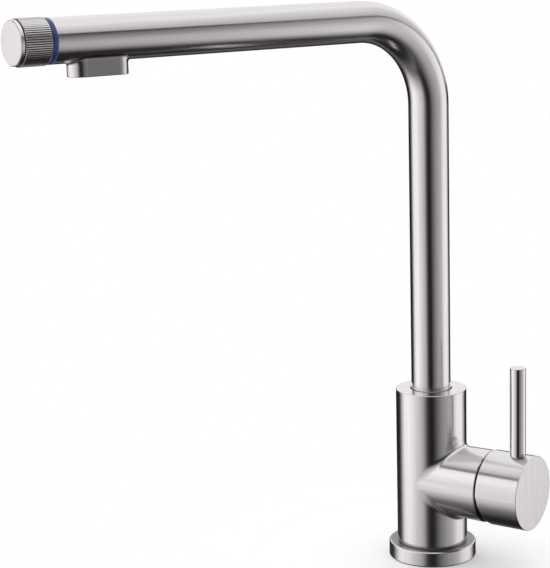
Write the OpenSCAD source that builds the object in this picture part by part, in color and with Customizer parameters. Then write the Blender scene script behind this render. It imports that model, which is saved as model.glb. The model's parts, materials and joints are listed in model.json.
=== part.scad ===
// Three-way kitchen tap: a side lever mixes hot and cold, a knob in the spout's end opens filtered water.
// The origin is the middle of the foot on the deck, +Z is up and the handle points along +X.

/* [Spout] */
// Height of the spout's level axis above the deck
spout_axis_h = 346; // [320:1:400]
// Outside diameter of the spout tube
tube_d = 25; // [24:0.5:27]
// Wall of the spout tube
tube_wall = 1.5; // [1.2:0.1:2]
// Radius of the bend, on the tube's middle line
bend_r = 53.5; // [40:0.5:70]
// Distance from the column's axis to the tube's open end
tube_reach = 261.5; // [240:0.5:300]
// Turn of the spout at rest, away from straight ahead, in degrees
spout_turn = -20; // [-60:1:60]

/* [Column] */
// Diameter of the column
body_d = 45; // [44:0.5:48]
// Height of the column's top face above the deck
body_top_h = 111.5; // [108:0.5:130]
// Thickness of the column's top wall
top_wall = 4; // [3:0.5:6]
// Rounding of the column's outer edges
body_edge = 0.6; // [0.3:0.1:1.5]

/* [Foot] */
// Diameter of the foot
flange_d = 56; // [54:0.5:70]
// Height of the foot
flange_h = 10; // [8:0.5:14]
// Rounding of the foot's shoulder
flange_round = 1.2; // [0.5:0.1:5]
// Rounding of the foot's lower edge
flange_foot_round = 1; // [0.5:0.1:2]
// Width of the seal under the foot
foot_seal_w = 3; // [2:0.5:4]
// Thickness of the seal under the foot
foot_seal_h = 2; // [1.5:0.5:3]

/* [Inlet core] */
// Diameter of the core
core_d = 34; // [33:0.5:35]
// Tapping hole of the three M10 x 1 hose threads
hose_hole_d = 9; // [8.5:0.1:9.2]
// Depth of the hose threads
hose_hole_depth = 12; // [10:0.5:14]
// Distance between the hot and the cold hose thread
hose_spacing = 21.6; // [21:0.2:22]
// Tapping hole of the M6 stud threads
stud_hole_d = 5; // [4:0.1:5.4]
// Depth of the stud threads
stud_hole_depth = 14; // [10:0.5:16]
// Distance between the two studs
stud_spacing = 23; // [22:0.5:24]
// Outside diameter of the filtered-water pipe
pipe_d = 8; // [7:0.5:8]
// Wall of the filtered-water pipe
pipe_wall = 1.25; // [1:0.05:1.5]

/* [Handle] */
// Height of the handle's axis above the deck
handle_axis_h = 52.5; // [50:0.5:56]
// Diameter of the side branch at its end
branch_d = 46; // [45.5:0.5:48]
// Distance from the column's axis to the branch's end
branch_reach = 43; // [42.5:0.5:46]
// Diameter of the handle cap
cap_d = 47; // [46:0.5:52]
// Length of the handle cap
cap_len = 28.4; // [27.5:0.1:36]
// Gap between the branch and the cap
cap_gap = 1.1; // [0.6:0.1:1.5]
// Rounding of the cap's front edge
cap_round = 1; // [0.5:0.1:3]
// Diameter of the lever rod
rod_d = 10; // [8:0.5:12]
// Distance from the cap's rear rim to the rod's axis
rod_setback = 17.9; // [17:0.1:20]
// Height of the rod's top above the handle's axis
rod_rise = 79.5; // [60:0.5:110]
// Tilt that opens the flow, in degrees
tilt_deg = 12; // [8:1:14]

/* [Mixing cartridge] */
// Diameter of the cartridge
cartridge_d = 35; // [34:0.5:36]
// Length of the cartridge housing
cartridge_len = 25; // [24.5:0.5:26]
// Distance from the column's axis to the cartridge seat
seat_at = 12; // [11.5:0.5:12.5]
// Thickness of the housing's base and of the fixed disc
disc_h = 4; // [3.5:0.5:4.5]
// Diameter of the moving disc
moving_disc_d = 23; // [22:0.5:24]
// Diameter of the lever stem
stem_d = 8; // [7:0.5:9]
// Diameter of the pivot pin
pivot_d = 3; // [2.5:0.5:4]

/* [Outlet] */
// Length of the outlet housing along the spout
boss_len = 35.5; // [34:0.5:38]
// Width of the outlet housing
boss_w = 16; // [15.5:0.5:18]
// Distance that the outlet housing stands below the tube
boss_drop = 7.5; // [7:0.5:12]
// Rounding of the outlet housing's corners
boss_round = 7.5; // [2:0.5:7.5]
// Distance from the tube's open end to the middle of the outlet housing
boss_setback = 29.5; // [28:0.5:34]
// Diameter of the aerator
aerator_d = 12.4; // [11:0.2:12.8]
// Diameter of the filtered-water nozzle
nozzle_d = 8; // [7:0.2:9]

/* [Filter knob] */
// Diameter of the knob over its ridges
knob_d = 25.8; // [25:0.1:30]
// Length of the ridged grip
knob_len = 16.1; // [16:0.1:22]
// Number of ridges
knob_ridges = 64; // [40:1:80]
// Height of a ridge
ridge_h = 0.5; // [0.3:0.1:0.8]
// Width of the blue ring
ring_len = 2.4; // [2:0.1:4]
// Diameter of the smooth end disc
end_disc_d = 24.5; // [24:0.1:25.4]
// Thickness of the smooth end disc
end_disc_len = 2.7; // [2:0.1:5]
// Depth of the filtered-water valve inside the tube
valve_room = 15.5; // [15:0.5:18]

/* [Fits] */
// Running clearance of turning pieces, on the radius
run_gap = 0.05; // [0.03:0.01:0.08]
// Clearance of seated pieces, on the radius
seat_gap = 0.02; // [0.02:0.01:0.05]
// Clearance between pieces that move past each other
move_gap = 0.3; // [0.3:0.05:0.5]

/* [Hidden] */
$fn = 96;

// Colours
steel = "#c9c8c6";
polished = "#dcdcdd";
brass = "#c8a85a";
rubber = "#262626";
white_plastic = "#e8e6df";
dark_plastic = "#3a3a3c";
ceramic = "#f2efe8";
filter_blue = "#1d3f9c";

// Radii that the pieces share
tube_r = tube_d / 2;
tube_bore_r = tube_r - tube_wall;
body_r = body_d / 2;
flange_r = flange_d / 2;
core_r = core_d / 2;
branch_r = branch_d / 2;
cap_r = cap_d / 2;
cartridge_r = cartridge_d / 2;
pipe_r = pipe_d / 2;
pipe_bore_r = pipe_r - pipe_wall;
stem_r = stem_d / 2;
past = 1;

// Foot and inlet core
core_z = 0;
core_foot_h = 3;
core_foot_step = 1.5;
core_foot_r = core_r + core_foot_step;
core_bore_r = core_r + run_gap;
spigot_r = core_foot_r + core_foot_step;
flange_shoulder = min(flange_round, flange_r - body_r, flange_h - flange_foot_round);
foot_seal_r = (spigot_r + flange_r) / 2;
core_seal_cord_r = 0.8;
core_seal_z = [18, 27];
way_r = 2.4;
way_step = 0.2;
way_y = 8;
way_drop = 4;
way_z = handle_axis_h - way_drop;
mixed_way_r = 2.6;
mixed_way_rise = 8.5;
way_wall = 1.6;
mixed_way_z = handle_axis_h + mixed_way_rise;
mixed_way_x = pipe_r + seat_gap + way_wall + mixed_way_r;
hose_top_z = core_z + hose_hole_depth;

// Cartridge, from its seat outwards
cartridge_gap = 0.5;
branch_bore_r = cartridge_r + cartridge_gap;
branch_taper = 0.1;
branch_root_r = body_r - branch_taper;
core_roof = 1.5;
core_top_z = handle_axis_h + branch_bore_r + core_roof;
port_seal_cord_r = 0.5;
port_seal_r = mixed_way_r + port_seal_cord_r;
port_groove_r = port_seal_r + port_seal_cord_r + seat_gap;
housing_wall = 2.5;
housing_bore_r = cartridge_r - housing_wall;
fixed_disc_x = seat_at + disc_h;
moving_disc_x = fixed_disc_x + disc_h + run_gap;
moving_disc_h = 3;
carrier_x = moving_disc_x + moving_disc_h;
ball_r = 2.6;
socket_r = ball_r + move_gap;
socket_rise = 1.3;
carrier_h = socket_r + socket_rise;
rotor_x = carrier_x + carrier_h + move_gap;
rotor_end_x = seat_at + cartridge_len - 3 * run_gap;
rotor_r = housing_bore_r - run_gap;
nut_x = seat_at + cartridge_len + seat_gap;
nut_h = 4;
nut_lip = 2.8;
nut_bore_r = housing_bore_r - nut_lip;
pivot_depth = 3;
pivot_x = rotor_end_x - pivot_depth;
pivot_r = pivot_d / 2;
ball_x = carrier_x + socket_r;
neck_step = 0.4;
stem_neck_r = ball_r - neck_step;
slot_room = 1.5;
slot_half = stem_r + slot_room;
moving_disc_r = moving_disc_d / 2;
pocket_r = moving_disc_r - way_drop;
pin_short = 0.5;
water_ports = [
    [0, -way_y, way_z, way_r],
    [0, way_y, way_z, way_r],
    [mixed_way_x, 0, mixed_way_z, mixed_way_r]
];

// Dome behind the cap, round the lever's pivot
dome_step = 2.4;
dome_wall = 1.5;
dome_r = norm([branch_reach - pivot_x, branch_r - dome_step]);
dome_len = 7;
dome_skirt_x = nut_x + nut_h + seat_gap;

// Handle
cap_x = branch_reach + cap_gap;
cap_face_x = cap_x + cap_len;
dome_gap = 0.5;
cap_hollow_r = dome_r + dome_gap;
rod_x = cap_x + rod_setback;
rod_r = rod_d / 2;
rod_clear = 2;
rod_foot = stem_r + rod_clear;
stem_end_x = rod_x + rod_clear;
rod_edge = 0.4;
grub_r = 2;
grub_len = 8;
hex_share = 0.6;

// Swivel joint of the spout
sleeve_wall = 2.45;
sleeve_r = tube_r + sleeve_wall;
spout_bore_r = sleeve_r + run_gap;
glide_wall = 0.8;
glide_flange_h = 1.5;
glide_recess = 0.7;
washer_h = 1.5;
washer_bore_r = tube_bore_r + 0.4;
sleeve_foot = 5;
web_h = 3;
sleeve_z = core_top_z + washer_h + run_gap;
sleeve_end_z = body_top_h - top_wall - glide_flange_h - move_gap;
tube_z = sleeve_z + sleeve_foot + web_h;
swivel_cord_r = 0.85;
swivel_seal_pitch = 8;
swivel_seal_z = [tube_z + 6, tube_z + 6 + swivel_seal_pitch];
stop_r = 1.5;
stop_groove_r = sleeve_r - stop_r;
stop_sink = 1.2;
stop_z = sleeve_z + sleeve_foot / 2;

// Filtered water through the swivel
coupler_wall = 2.5;
coupler_r = pipe_r + coupler_wall;
coupler_lip = 1;
coupler_z = sleeve_z + coupler_lip;
coupler_rise = 9;
coupler_end_z = tube_z + coupler_rise;
coupler_flange_h = 1.5;
coupler_bore_r = pipe_r + run_gap;
coupler_seal_z = tube_z - coupler_flange_h;
pipe_cord_r = 0.55;
riser_end_z = tube_z + coupler_rise / 3;
pipe_start_z = riser_end_z + 2 * move_gap;
web_hole_count = 6;
web_hole_r = 1.4;
web_hole_at = (coupler_r + coupler_lip + tube_bore_r) / 2;

// Spout end, by distance from the column's axis
boss_at = tube_reach - boss_setback;
boss_bottom_z = spout_axis_h - tube_r - boss_drop;
manifold_end = tube_reach - valve_room;
manifold_wall = 0.6;
aerator_r = aerator_d / 2;
nozzle_r = nozzle_d / 2;
nozzle_way_r = 2.2;
return_way_r = nozzle_way_r - run_gap;
aerator_edge = 1.8;
nozzle_edge = 3;
aerator_at = boss_at - boss_len / 2 + aerator_edge + aerator_r;
nozzle_limit = manifold_end - return_way_r - manifold_wall;
nozzle_at = min(boss_at + boss_len / 2 - nozzle_edge - nozzle_r, nozzle_limit);
outlet_recess = 0.3;
aerator_seal_h = 1;
aerator_lip = 1;
aerator_len = boss_drop - 2 * aerator_lip;
nozzle_len = aerator_len;
screen_r = aerator_r - aerator_lip - seat_gap;
screen_h = 1;
screen_rings = 3;
screen_pitch = screen_r / (screen_rings + 0.8);
screen_hole_r = 0.42 * screen_pitch;
screen_z = boss_bottom_z + outlet_recess + aerator_len / 2 - screen_h - seat_gap;
boss_wrap = tube_r - sqrt(tube_r ^ 2 - boss_w ^ 2 / 4);
boss_overlap = 0.4;
boss_corner_r = min(boss_round, boss_w / 2 - 0.5);
outlet_way_r = 4;
manifold_lead = 17;
manifold_at = aerator_at - manifold_lead;
manifold_r = tube_bore_r - seat_gap;
manifold_cord_r = 0.8;
pipe_socket = 8;
manifold_seal_at = [manifold_at + pipe_socket / 2, (aerator_at + nozzle_at) / 2 + past];
pipe_socket_end = manifold_at + pipe_socket;
mixed_drop = pipe_r + mixed_way_r + manifold_wall;
return_drop = 5.5;
return_r = 1.9;

// Filtered-water valve and knob, by distance from the column's axis
valve_disc_r = 8;
valve_disc_h = 3;
valve_cavity_r = valve_disc_r + run_gap;
turning_disc_at = manifold_end + valve_disc_h + run_gap;
plate_at = turning_disc_at + valve_disc_h;
plate_h = 3.5;
tongue_w = 3;
tongue_h = 1;
shaft_r = 3.5;
shaft_at = plate_at + plate_h;
nose_r = valve_disc_r;
nose_len = 8;
nose_end = tube_reach + nose_len;
spindle_cord_r = 0.45;
spindle_seal_at = tube_reach + past;
ring_end = tube_reach + seat_gap + ring_len;
knob_at = ring_end + move_gap;
knob_r = knob_d / 2;
knob_end = knob_at + knob_len;
knob_web_at = nose_end + move_gap;
knob_web_h = 4;
knob_web_end = knob_web_at + knob_web_h;
knob_hollow_gap = 2;
knob_hollow_r = nose_r + knob_hollow_gap;
knob_rim = 1.8;
knob_recess_r = knob_r - ridge_h - knob_rim;
knob_edge = 0.6;
spindle_end_r = 3;
spindle_end = knob_web_end - move_gap;
screw_r = 1.6;
screw_head_r = 3.4;
cap_plug_h = knob_end - knob_web_end - seat_gap;
screw_head_h = min(2, cap_plug_h - knob_edge);
screw_len = 9;
disc_edge = 0.5;

// Places a piece with its axis on the handle's axis: its +Z points along +X and its -X points up.
module on_handle(x) {
    translate([x, 0, handle_axis_h]) rotate([0, 90, 0]) children();
}

// Turns a piece modelled with the spout straight ahead to the spout's place at rest.
module on_spout() {
    rotate([0, 0, spout_turn]) children();
}

// Places a piece with its axis on the level part of the spout: its +Z points outwards and its +Y up.
module on_spout_end(at) {
    on_spout() translate([0, -at, spout_axis_h]) rotate([90, 0, 0]) children();
}

// A ring of plain section.
module band(r_out, r_in, h) {
    difference() {
        cylinder(r = r_out, h = h);
        translate([0, 0, -past]) cylinder(r = r_in, h = h + 2 * past);
    }
}

// A seal of round cord.
module cord_ring(r, cord_r) {
    rotate_extrude() translate([r, 0]) circle(r = cord_r);
}

// A square corner less its quarter round, for taking off an edge.
module edge_waste(round) {
    difference() {
        square(round + past);
        circle(r = round);
    }
}

// A round bar whose top and foot edges are rounded.
module round_bar(r, h, top_round, foot_round) {
    rotate_extrude() difference() {
        square([r, h]);
        translate([r - top_round, h - top_round]) edge_waste(top_round);
        translate([r - foot_round, foot_round]) mirror([0, 1]) edge_waste(foot_round);
    }
}

// A round bar with a bevel on both edges.
module bevel_bar(r, h, bevel) {
    rotate_extrude() polygon([
        [0, 0], [r - bevel, 0], [r, bevel], [r, h - bevel], [r - bevel, h], [0, h]
    ]);
}

// A headless screw with a hexagon socket in its outer end.
module grub_screw(r, h) {
    difference() {
        cylinder(r = r, h = h);
        translate([0, 0, h / 2]) cylinder(r = r * hex_share, h = h, $fn = 6);
    }
}

// A rectangle with round corners.
module rounded_rectangle(l, w, r) {
    square([l - 2 * r, w], center = true);
    square([l, w - 2 * r], center = true);
    for (x = [-1, 1], y = [-1, 1]) translate([x * (l / 2 - r), y * (w / 2 - r)]) circle(r = r);
}

// A tube bent from upright to level, as a solid bar of one radius.
module bent_bar(r, foot_z, end_at) {
    bend_z = spout_axis_h - bend_r;
    translate([0, 0, foot_z]) cylinder(r = r, h = bend_z - foot_z);
    translate([0, -bend_r, bend_z]) rotate([0, -90, 0])
        rotate_extrude(angle = 90) translate([bend_r, 0]) circle(r = r);
    translate([0, -bend_r, spout_axis_h]) rotate([90, 0, 0]) cylinder(r = r, h = end_at - bend_r);
}

// The three level water ways, cut along the handle's axis from their upright ways to a given distance.
module port_holes(end_x) {
    for (p = water_ports) translate([p[0], p[1], p[2]]) rotate([0, 90, 0])
        cylinder(r = p[3], h = end_x - p[0]);
}

// Places a piece on the cartridge's seat at each of the three water ways.
module at_ports(x) {
    for (p = water_ports) translate([x, p[1], p[2]]) rotate([0, 90, 0]) children();
}

// Column with its side branch.
module mixer_body() {
    color(steel) difference() {
        union() {
            translate([0, 0, flange_h]) round_bar(body_r, body_top_h - flange_h, body_edge, body_edge);
            translate([0, 0, core_z]) cylinder(r = spigot_r, h = flange_h - core_z + past);
            on_handle(0) cylinder(r1 = branch_root_r, r2 = branch_r, h = branch_reach - body_edge);
            on_handle(branch_reach - body_edge)
                cylinder(r1 = branch_r, r2 = branch_r - body_edge, h = body_edge);
        }
        translate([0, 0, core_z - past]) cylinder(r = core_bore_r, h = core_top_z - core_z + past);
        translate([0, 0, core_z - past]) cylinder(r = core_foot_r + seat_gap, h = core_foot_h + past);
        translate([0, 0, core_top_z - past])
            cylinder(r = spout_bore_r, h = body_top_h - top_wall - core_top_z + past);
        translate([0, 0, core_top_z]) cylinder(r = tube_r + glide_wall + seat_gap, h = body_top_h);
        on_handle(seat_at) cylinder(r = branch_bore_r, h = branch_reach);
        translate([0, stop_groove_r, stop_z]) rotate([-90, 0, 0])
            cylinder(r = stop_r + seat_gap, h = body_r);
    }
}

// Low round foot with a groove for its seal.
module base_flange() {
    color(steel) difference() {
        round_bar(flange_r, flange_h - seat_gap, flange_shoulder, flange_foot_round);
        translate([0, 0, -past]) cylinder(r = spigot_r + seat_gap, h = flange_h + 2 * past);
        translate([0, 0, -past]) band(foot_seal_r + foot_seal_w / 2 + seat_gap,
            foot_seal_r - foot_seal_w / 2 - seat_gap, foot_seal_h + past);
    }
}

// Flat seal between the foot and the deck.
module base_seal() {
    color(rubber) band(foot_seal_r + foot_seal_w / 2, foot_seal_r - foot_seal_w / 2, foot_seal_h - seat_gap);
}

// Block with the hose and stud threads below, the water ways inside and the cartridge seat at the side.
module inlet_core() {
    color(brass) difference() {
        union() {
            translate([0, 0, core_z]) cylinder(r = core_r, h = core_top_z - core_z);
            translate([0, 0, core_z]) cylinder(r = core_foot_r, h = core_foot_h - seat_gap);
        }
        on_handle(seat_at) cylinder(r = branch_bore_r, h = body_r);
        for (y = [-1, 1]) {
            translate([0, y * hose_spacing / 2, core_z - past])
                cylinder(r = hose_hole_d / 2, h = hose_hole_depth + past);
            translate([0, y * way_y, hose_top_z - seat_gap])
                cylinder(r = way_r - way_step, h = way_z - hose_top_z);
        }
        port_holes(seat_at + past);
        translate([mixed_way_x + way_step, 0, mixed_way_z])
            cylinder(r = mixed_way_r - way_step, h = core_top_z);
        translate([0, 0, core_z - past]) cylinder(r = hose_hole_d / 2, h = hose_hole_depth + past);
        translate([0, 0, core_z]) cylinder(r = pipe_r + seat_gap, h = core_top_z);
        for (x = [-1, 1]) translate([x * stud_spacing / 2, 0, core_z - past])
            cylinder(r = stud_hole_d / 2, h = stud_hole_depth + past);
        for (z = core_seal_z) translate([0, 0, z])
            cord_ring(core_r - core_seal_cord_r, core_seal_cord_r + seat_gap);
    }
}

// Seals between the core and the column.
module core_seals() {
    color(rubber) for (z = core_seal_z) translate([0, 0, z])
        cord_ring(core_r - core_seal_cord_r, core_seal_cord_r);
}

// Fixed pipe that brings filtered water up to the swivel.
module filter_riser() {
    color(steel) translate([0, 0, hose_top_z + seat_gap])
        band(pipe_r, pipe_bore_r, riser_end_z - hose_top_z - seat_gap);
}

// Cup of the mixing cartridge.
module cartridge_housing() {
    color(white_plastic) difference() {
        on_handle(seat_at + seat_gap) cylinder(r = cartridge_r, h = cartridge_len - seat_gap);
        on_handle(fixed_disc_x) cylinder(r = housing_bore_r, h = cartridge_len);
        port_holes(fixed_disc_x + past);
        at_ports(seat_at) cylinder(r = port_groove_r, h = 2 * port_seal_cord_r + 2 * seat_gap);
    }
}

// Seals round the three ports in the cartridge's base.
module cartridge_base_seals() {
    color(rubber) at_ports(seat_at + port_seal_cord_r + seat_gap)
        cord_ring(port_seal_r, port_seal_cord_r);
}

// Fixed ceramic disc with the three ports.
module cartridge_fixed_disc() {
    color(ceramic) difference() {
        on_handle(fixed_disc_x + seat_gap) cylinder(r = housing_bore_r - seat_gap, h = disc_h - seat_gap);
        port_holes(moving_disc_x + past);
    }
}

// Moving ceramic disc, with a pocket that joins the ports.
module cartridge_moving_disc() {
    color(ceramic) difference() {
        on_handle(moving_disc_x) cylinder(r = moving_disc_r, h = moving_disc_h);
        on_handle(moving_disc_x - past) cylinder(r = pocket_r, h = past + moving_disc_h / 2);
    }
}

// Plate on the moving disc that the stem's ball pushes.
module disc_carrier() {
    color(dark_plastic) on_handle(carrier_x + seat_gap) band(moving_disc_r, socket_r, carrier_h - seat_gap);
}

// Turning sleeve that holds the lever's pivot.
module rotor_sleeve() {
    color(dark_plastic) difference() {
        union() {
            on_handle(rotor_x) cylinder(r = rotor_r, h = rotor_end_x - rotor_x);
            on_handle(rotor_x) cylinder(r = nut_bore_r - move_gap, h = nut_x + nut_h / 2 - rotor_x);
        }
        on_handle(rotor_x - past) translate([-slot_half, -stem_r - run_gap, 0])
            cube([2 * slot_half, 2 * (stem_r + run_gap), cartridge_len]);
        on_handle(pivot_x) rotate([90, 0, 0])
            cylinder(r = pivot_r + seat_gap, h = 2 * cartridge_d, center = true);
    }
}

// Pin that the lever tilts on.
module pivot_pin() {
    color(polished) on_handle(pivot_x) rotate([90, 0, 0])
        cylinder(r = pivot_r, h = 2 * (rotor_r - pin_short), center = true);
}

// Threaded ring that clamps the cartridge.
module cartridge_nut() {
    color(brass) on_handle(nut_x) band(branch_bore_r - run_gap, nut_bore_r, nut_h);
}

// Polished dome that closes the branch behind the cap, round the lever's pivot.
module dome_ring() {
    color(polished) difference() {
        union() {
            intersection() {
                on_handle(pivot_x) sphere(r = dome_r);
                on_handle(branch_reach + seat_gap) cylinder(r = branch_r, h = dome_len);
            }
            on_handle(dome_skirt_x)
                cylinder(r = branch_bore_r - run_gap, h = branch_reach + past - dome_skirt_x);
        }
        intersection() {
            on_handle(pivot_x) sphere(r = dome_r - dome_wall);
            on_handle(branch_reach + dome_wall) cylinder(r = branch_r, h = dome_len);
        }
        on_handle(nut_x) cylinder(r = branch_bore_r - run_gap - dome_wall, h = branch_reach);
    }
}

// Stem of the lever: a ball in the disc carrier, the pivot's cross hole and a round end in the cap.
module lever_stem() {
    color(brass) difference() {
        union() {
            on_handle(ball_x) sphere(r = ball_r);
            on_handle(ball_x) cylinder(r = stem_neck_r, h = pivot_x - ball_x);
            on_handle(pivot_x - stem_r) cylinder(r = stem_r, h = stem_end_x - pivot_x + stem_r);
        }
        on_handle(pivot_x) rotate([90, 0, 0])
            cylinder(r = pivot_r + run_gap, h = 4 * stem_r, center = true);
    }
}

// Round cap of the handle, hollow round the dome, with its lower rim cut back for the tilt.
module handle_cap() {
    color(steel) difference() {
        on_handle(cap_x) round_bar(cap_r, cap_len, cap_round, rod_edge);
        on_handle(pivot_x) sphere(r = cap_hollow_r);
        translate([cap_x, 0, handle_axis_h]) rotate([0, -tilt_deg, 0])
            translate([-cap_len, -cap_d, -cap_d]) cube([cap_len, 2 * cap_d, cap_d]);
        translate([rod_x, 0, handle_axis_h + rod_foot - seat_gap]) cylinder(r = rod_r + seat_gap, h = cap_d);
        on_handle(pivot_x) cylinder(r = stem_r + seat_gap, h = stem_end_x - pivot_x + seat_gap);
        translate([rod_x, 0, handle_axis_h - cap_d]) cylinder(r = grub_r + seat_gap, h = cap_d);
    }
}

// Slim rod of the lever.
module lever_rod() {
    color(polished) translate([rod_x, 0, handle_axis_h + rod_foot])
        bevel_bar(rod_r, rod_rise - rod_foot, rod_edge);
}

// Screw under the cap that holds it on the stem.
module handle_grub_screw() {
    color(dark_plastic) translate([rod_x, 0, handle_axis_h - stem_r - seat_gap]) mirror([0, 0, 1])
        grub_screw(grub_r, grub_len);
}

// Ring that guides the spout tube in the column's top.
module upper_glide_ring() {
    color(dark_plastic) difference() {
        union() {
            translate([0, 0, body_top_h - top_wall - glide_flange_h])
                cylinder(r = sleeve_r - 2 * run_gap, h = glide_flange_h - seat_gap);
            translate([0, 0, body_top_h - top_wall - glide_flange_h])
                cylinder(r = tube_r + glide_wall, h = glide_flange_h + top_wall - glide_recess);
        }
        translate([0, 0, core_top_z]) cylinder(r = tube_r + run_gap, h = body_top_h);
    }
}

// Washer on the core that carries the spout.
module thrust_washer() {
    color(white_plastic) translate([0, 0, core_top_z + seat_gap])
        band(spout_bore_r - run_gap, washer_bore_r, washer_h - seat_gap);
}

// Screw in the column's back that keeps the spout from lifting out.
module spout_stop_screw() {
    color(dark_plastic) translate([0, stop_groove_r + move_gap, stop_z]) rotate([-90, 0, 0])
        grub_screw(stop_r, body_r - stop_groove_r - stop_sink);
}

// Bent spout tube with the two outlet holes in its underside.
module spout_tube() {
    color(steel) on_spout() difference() {
        bent_bar(tube_r, tube_z + seat_gap, tube_reach);
        bent_bar(tube_bore_r, tube_z - past, tube_reach + past);
        translate([0, -aerator_at, spout_axis_h - tube_d]) cylinder(r = outlet_way_r, h = tube_d);
        translate([0, -nozzle_at, spout_axis_h - tube_d]) cylinder(r = nozzle_way_r, h = tube_d);
    }
}

// Sleeve on the tube's foot that turns in the column.
module swivel_sleeve() {
    color(brass) on_spout() difference() {
        translate([0, 0, sleeve_z]) cylinder(r = sleeve_r, h = sleeve_end_z - sleeve_z);
        translate([0, 0, tube_z]) cylinder(r = tube_r + seat_gap, h = sleeve_end_z);
        translate([0, 0, sleeve_z - past]) cylinder(r = tube_bore_r, h = sleeve_foot + past);
        translate([0, 0, sleeve_z]) cylinder(r = coupler_r + seat_gap, h = sleeve_end_z);
        for (i = [0 : web_hole_count - 1]) rotate([0, 0, i * 360 / web_hole_count])
            translate([web_hole_at, 0, sleeve_z]) cylinder(r = web_hole_r, h = sleeve_end_z);
        for (z = swivel_seal_z) translate([0, 0, z])
            cord_ring(sleeve_r - swivel_cord_r, swivel_cord_r + seat_gap);
        translate([0, 0, stop_z - stop_r - move_gap])
            band(sleeve_r + past, stop_groove_r, 2 * (stop_r + move_gap));
    }
}

// Seals round the swivel sleeve.
module swivel_seals() {
    color(rubber) on_spout() for (z = swivel_seal_z) translate([0, 0, z])
        cord_ring(sleeve_r - swivel_cord_r, swivel_cord_r);
}

// Coupler that turns on the riser and holds the spout's filtered-water pipe.
module filter_coupler() {
    color(white_plastic) on_spout() difference() {
        union() {
            translate([0, 0, coupler_z]) cylinder(r = coupler_r, h = coupler_end_z - coupler_z);
            translate([0, 0, tube_z + seat_gap]) cylinder(r = coupler_r + coupler_lip, h = coupler_flange_h);
        }
        translate([0, 0, coupler_z - past]) cylinder(r = coupler_bore_r, h = coupler_end_z);
        translate([0, 0, coupler_seal_z]) cord_ring(coupler_bore_r + pipe_cord_r, pipe_cord_r + seat_gap);
    }
}

// Seal between the coupler and the riser.
module filter_coupler_seal() {
    color(rubber) on_spout() translate([0, 0, coupler_seal_z])
        cord_ring(coupler_bore_r + pipe_cord_r, pipe_cord_r);
}

// Filtered-water pipe along the middle of the spout.
module filter_tube() {
    color(white_plastic) on_spout() difference() {
        bent_bar(pipe_r, pipe_start_z, pipe_socket_end - seat_gap);
        bent_bar(pipe_bore_r, pipe_start_z - past, pipe_socket_end + past);
    }
}

// Block in the spout's end that keeps mixed and filtered water apart.
module spout_manifold() {
    color(brass) difference() {
        on_spout_end(manifold_at) cylinder(r = manifold_r, h = manifold_end - manifold_at - seat_gap);
        on_spout_end(manifold_at - past)
            cylinder(r = pipe_r + seat_gap, h = pipe_socket_end - manifold_at + past);
        on_spout_end(manifold_at) cylinder(r = nozzle_way_r, h = tube_reach);
        on_spout_end(manifold_at - past) translate([0, -mixed_drop, 0])
            cylinder(r = mixed_way_r, h = aerator_at - manifold_at + past);
        on_spout_end(aerator_at) translate([0, -mixed_drop, 0]) rotate([90, 0, 0])
            cylinder(r = outlet_way_r - aerator_lip, h = tube_r);
        on_spout_end(nozzle_at) translate([0, -return_drop, 0]) cylinder(r = return_r, h = tube_reach);
        on_spout_end(nozzle_at) translate([0, -return_drop, 0]) rotate([90, 0, 0])
            cylinder(r = return_way_r, h = tube_r);
        for (at = manifold_seal_at) on_spout_end(at)
            cord_ring(manifold_r - manifold_cord_r, manifold_cord_r + seat_gap);
    }
}

// Seals round the manifold, on both sides of the aerator's way.
module manifold_seals() {
    color(rubber) for (at = manifold_seal_at) on_spout_end(at)
        cord_ring(manifold_r - manifold_cord_r, manifold_cord_r);
}

// Oblong housing of the two outlets, saddled on the tube.
module outlet_housing() {
    color(steel) difference() {
        on_spout() translate([0, -boss_at, boss_bottom_z]) rotate([0, 0, 90])
            linear_extrude(height = boss_drop + boss_wrap + boss_overlap)
                rounded_rectangle(boss_len, boss_w, boss_corner_r);
        on_spout_end(0) cylinder(r = tube_r + seat_gap, h = tube_reach);
        on_spout() translate([0, -aerator_at, boss_bottom_z - past])
            cylinder(r = aerator_r + seat_gap, h = aerator_len + aerator_seal_h + past);
        on_spout() translate([0, -aerator_at, boss_bottom_z]) cylinder(r = outlet_way_r, h = tube_d);
        on_spout() translate([0, -nozzle_at, boss_bottom_z - past])
            cylinder(r = nozzle_r + seat_gap, h = nozzle_len + past);
        on_spout() translate([0, -nozzle_at, boss_bottom_z]) cylinder(r = nozzle_way_r, h = tube_d);
    }
}

// Ring that holds the aerator's screen.
module aerator_housing() {
    color(polished) on_spout() translate([0, -aerator_at, boss_bottom_z + outlet_recess]) difference() {
        cylinder(r = aerator_r, h = aerator_len - outlet_recess);
        translate([0, 0, -past]) cylinder(r = aerator_r - aerator_lip, h = aerator_len / 2 + past);
        cylinder(r = aerator_r - 2 * aerator_lip, h = aerator_len + past);
    }
}

// Perforated screen of the aerator.
module aerator_screen() {
    color(dark_plastic) on_spout() translate([0, -aerator_at, screen_z]) difference() {
        cylinder(r = screen_r, h = screen_h);
        translate([0, 0, -past]) cylinder(r = screen_hole_r, h = screen_h + 2 * past);
        for (turn = [1 : screen_rings], i = [0 : 6 * turn - 1]) rotate([0, 0, i * 60 / turn])
            translate([turn * screen_pitch, 0, -past]) cylinder(r = screen_hole_r, h = screen_h + 2 * past);
    }
}

// Flat seal above the aerator.
module aerator_seal() {
    color(rubber) on_spout() translate([0, -aerator_at, boss_bottom_z + aerator_len + seat_gap])
        band(aerator_r, outlet_way_r, aerator_seal_h - 2 * seat_gap);
}

// Plain nozzle of the filtered water.
module filter_nozzle() {
    color(dark_plastic) on_spout() translate([0, -nozzle_at, boss_bottom_z + outlet_recess])
        band(nozzle_r, nozzle_way_r, nozzle_len - outlet_recess - seat_gap);
}

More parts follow.
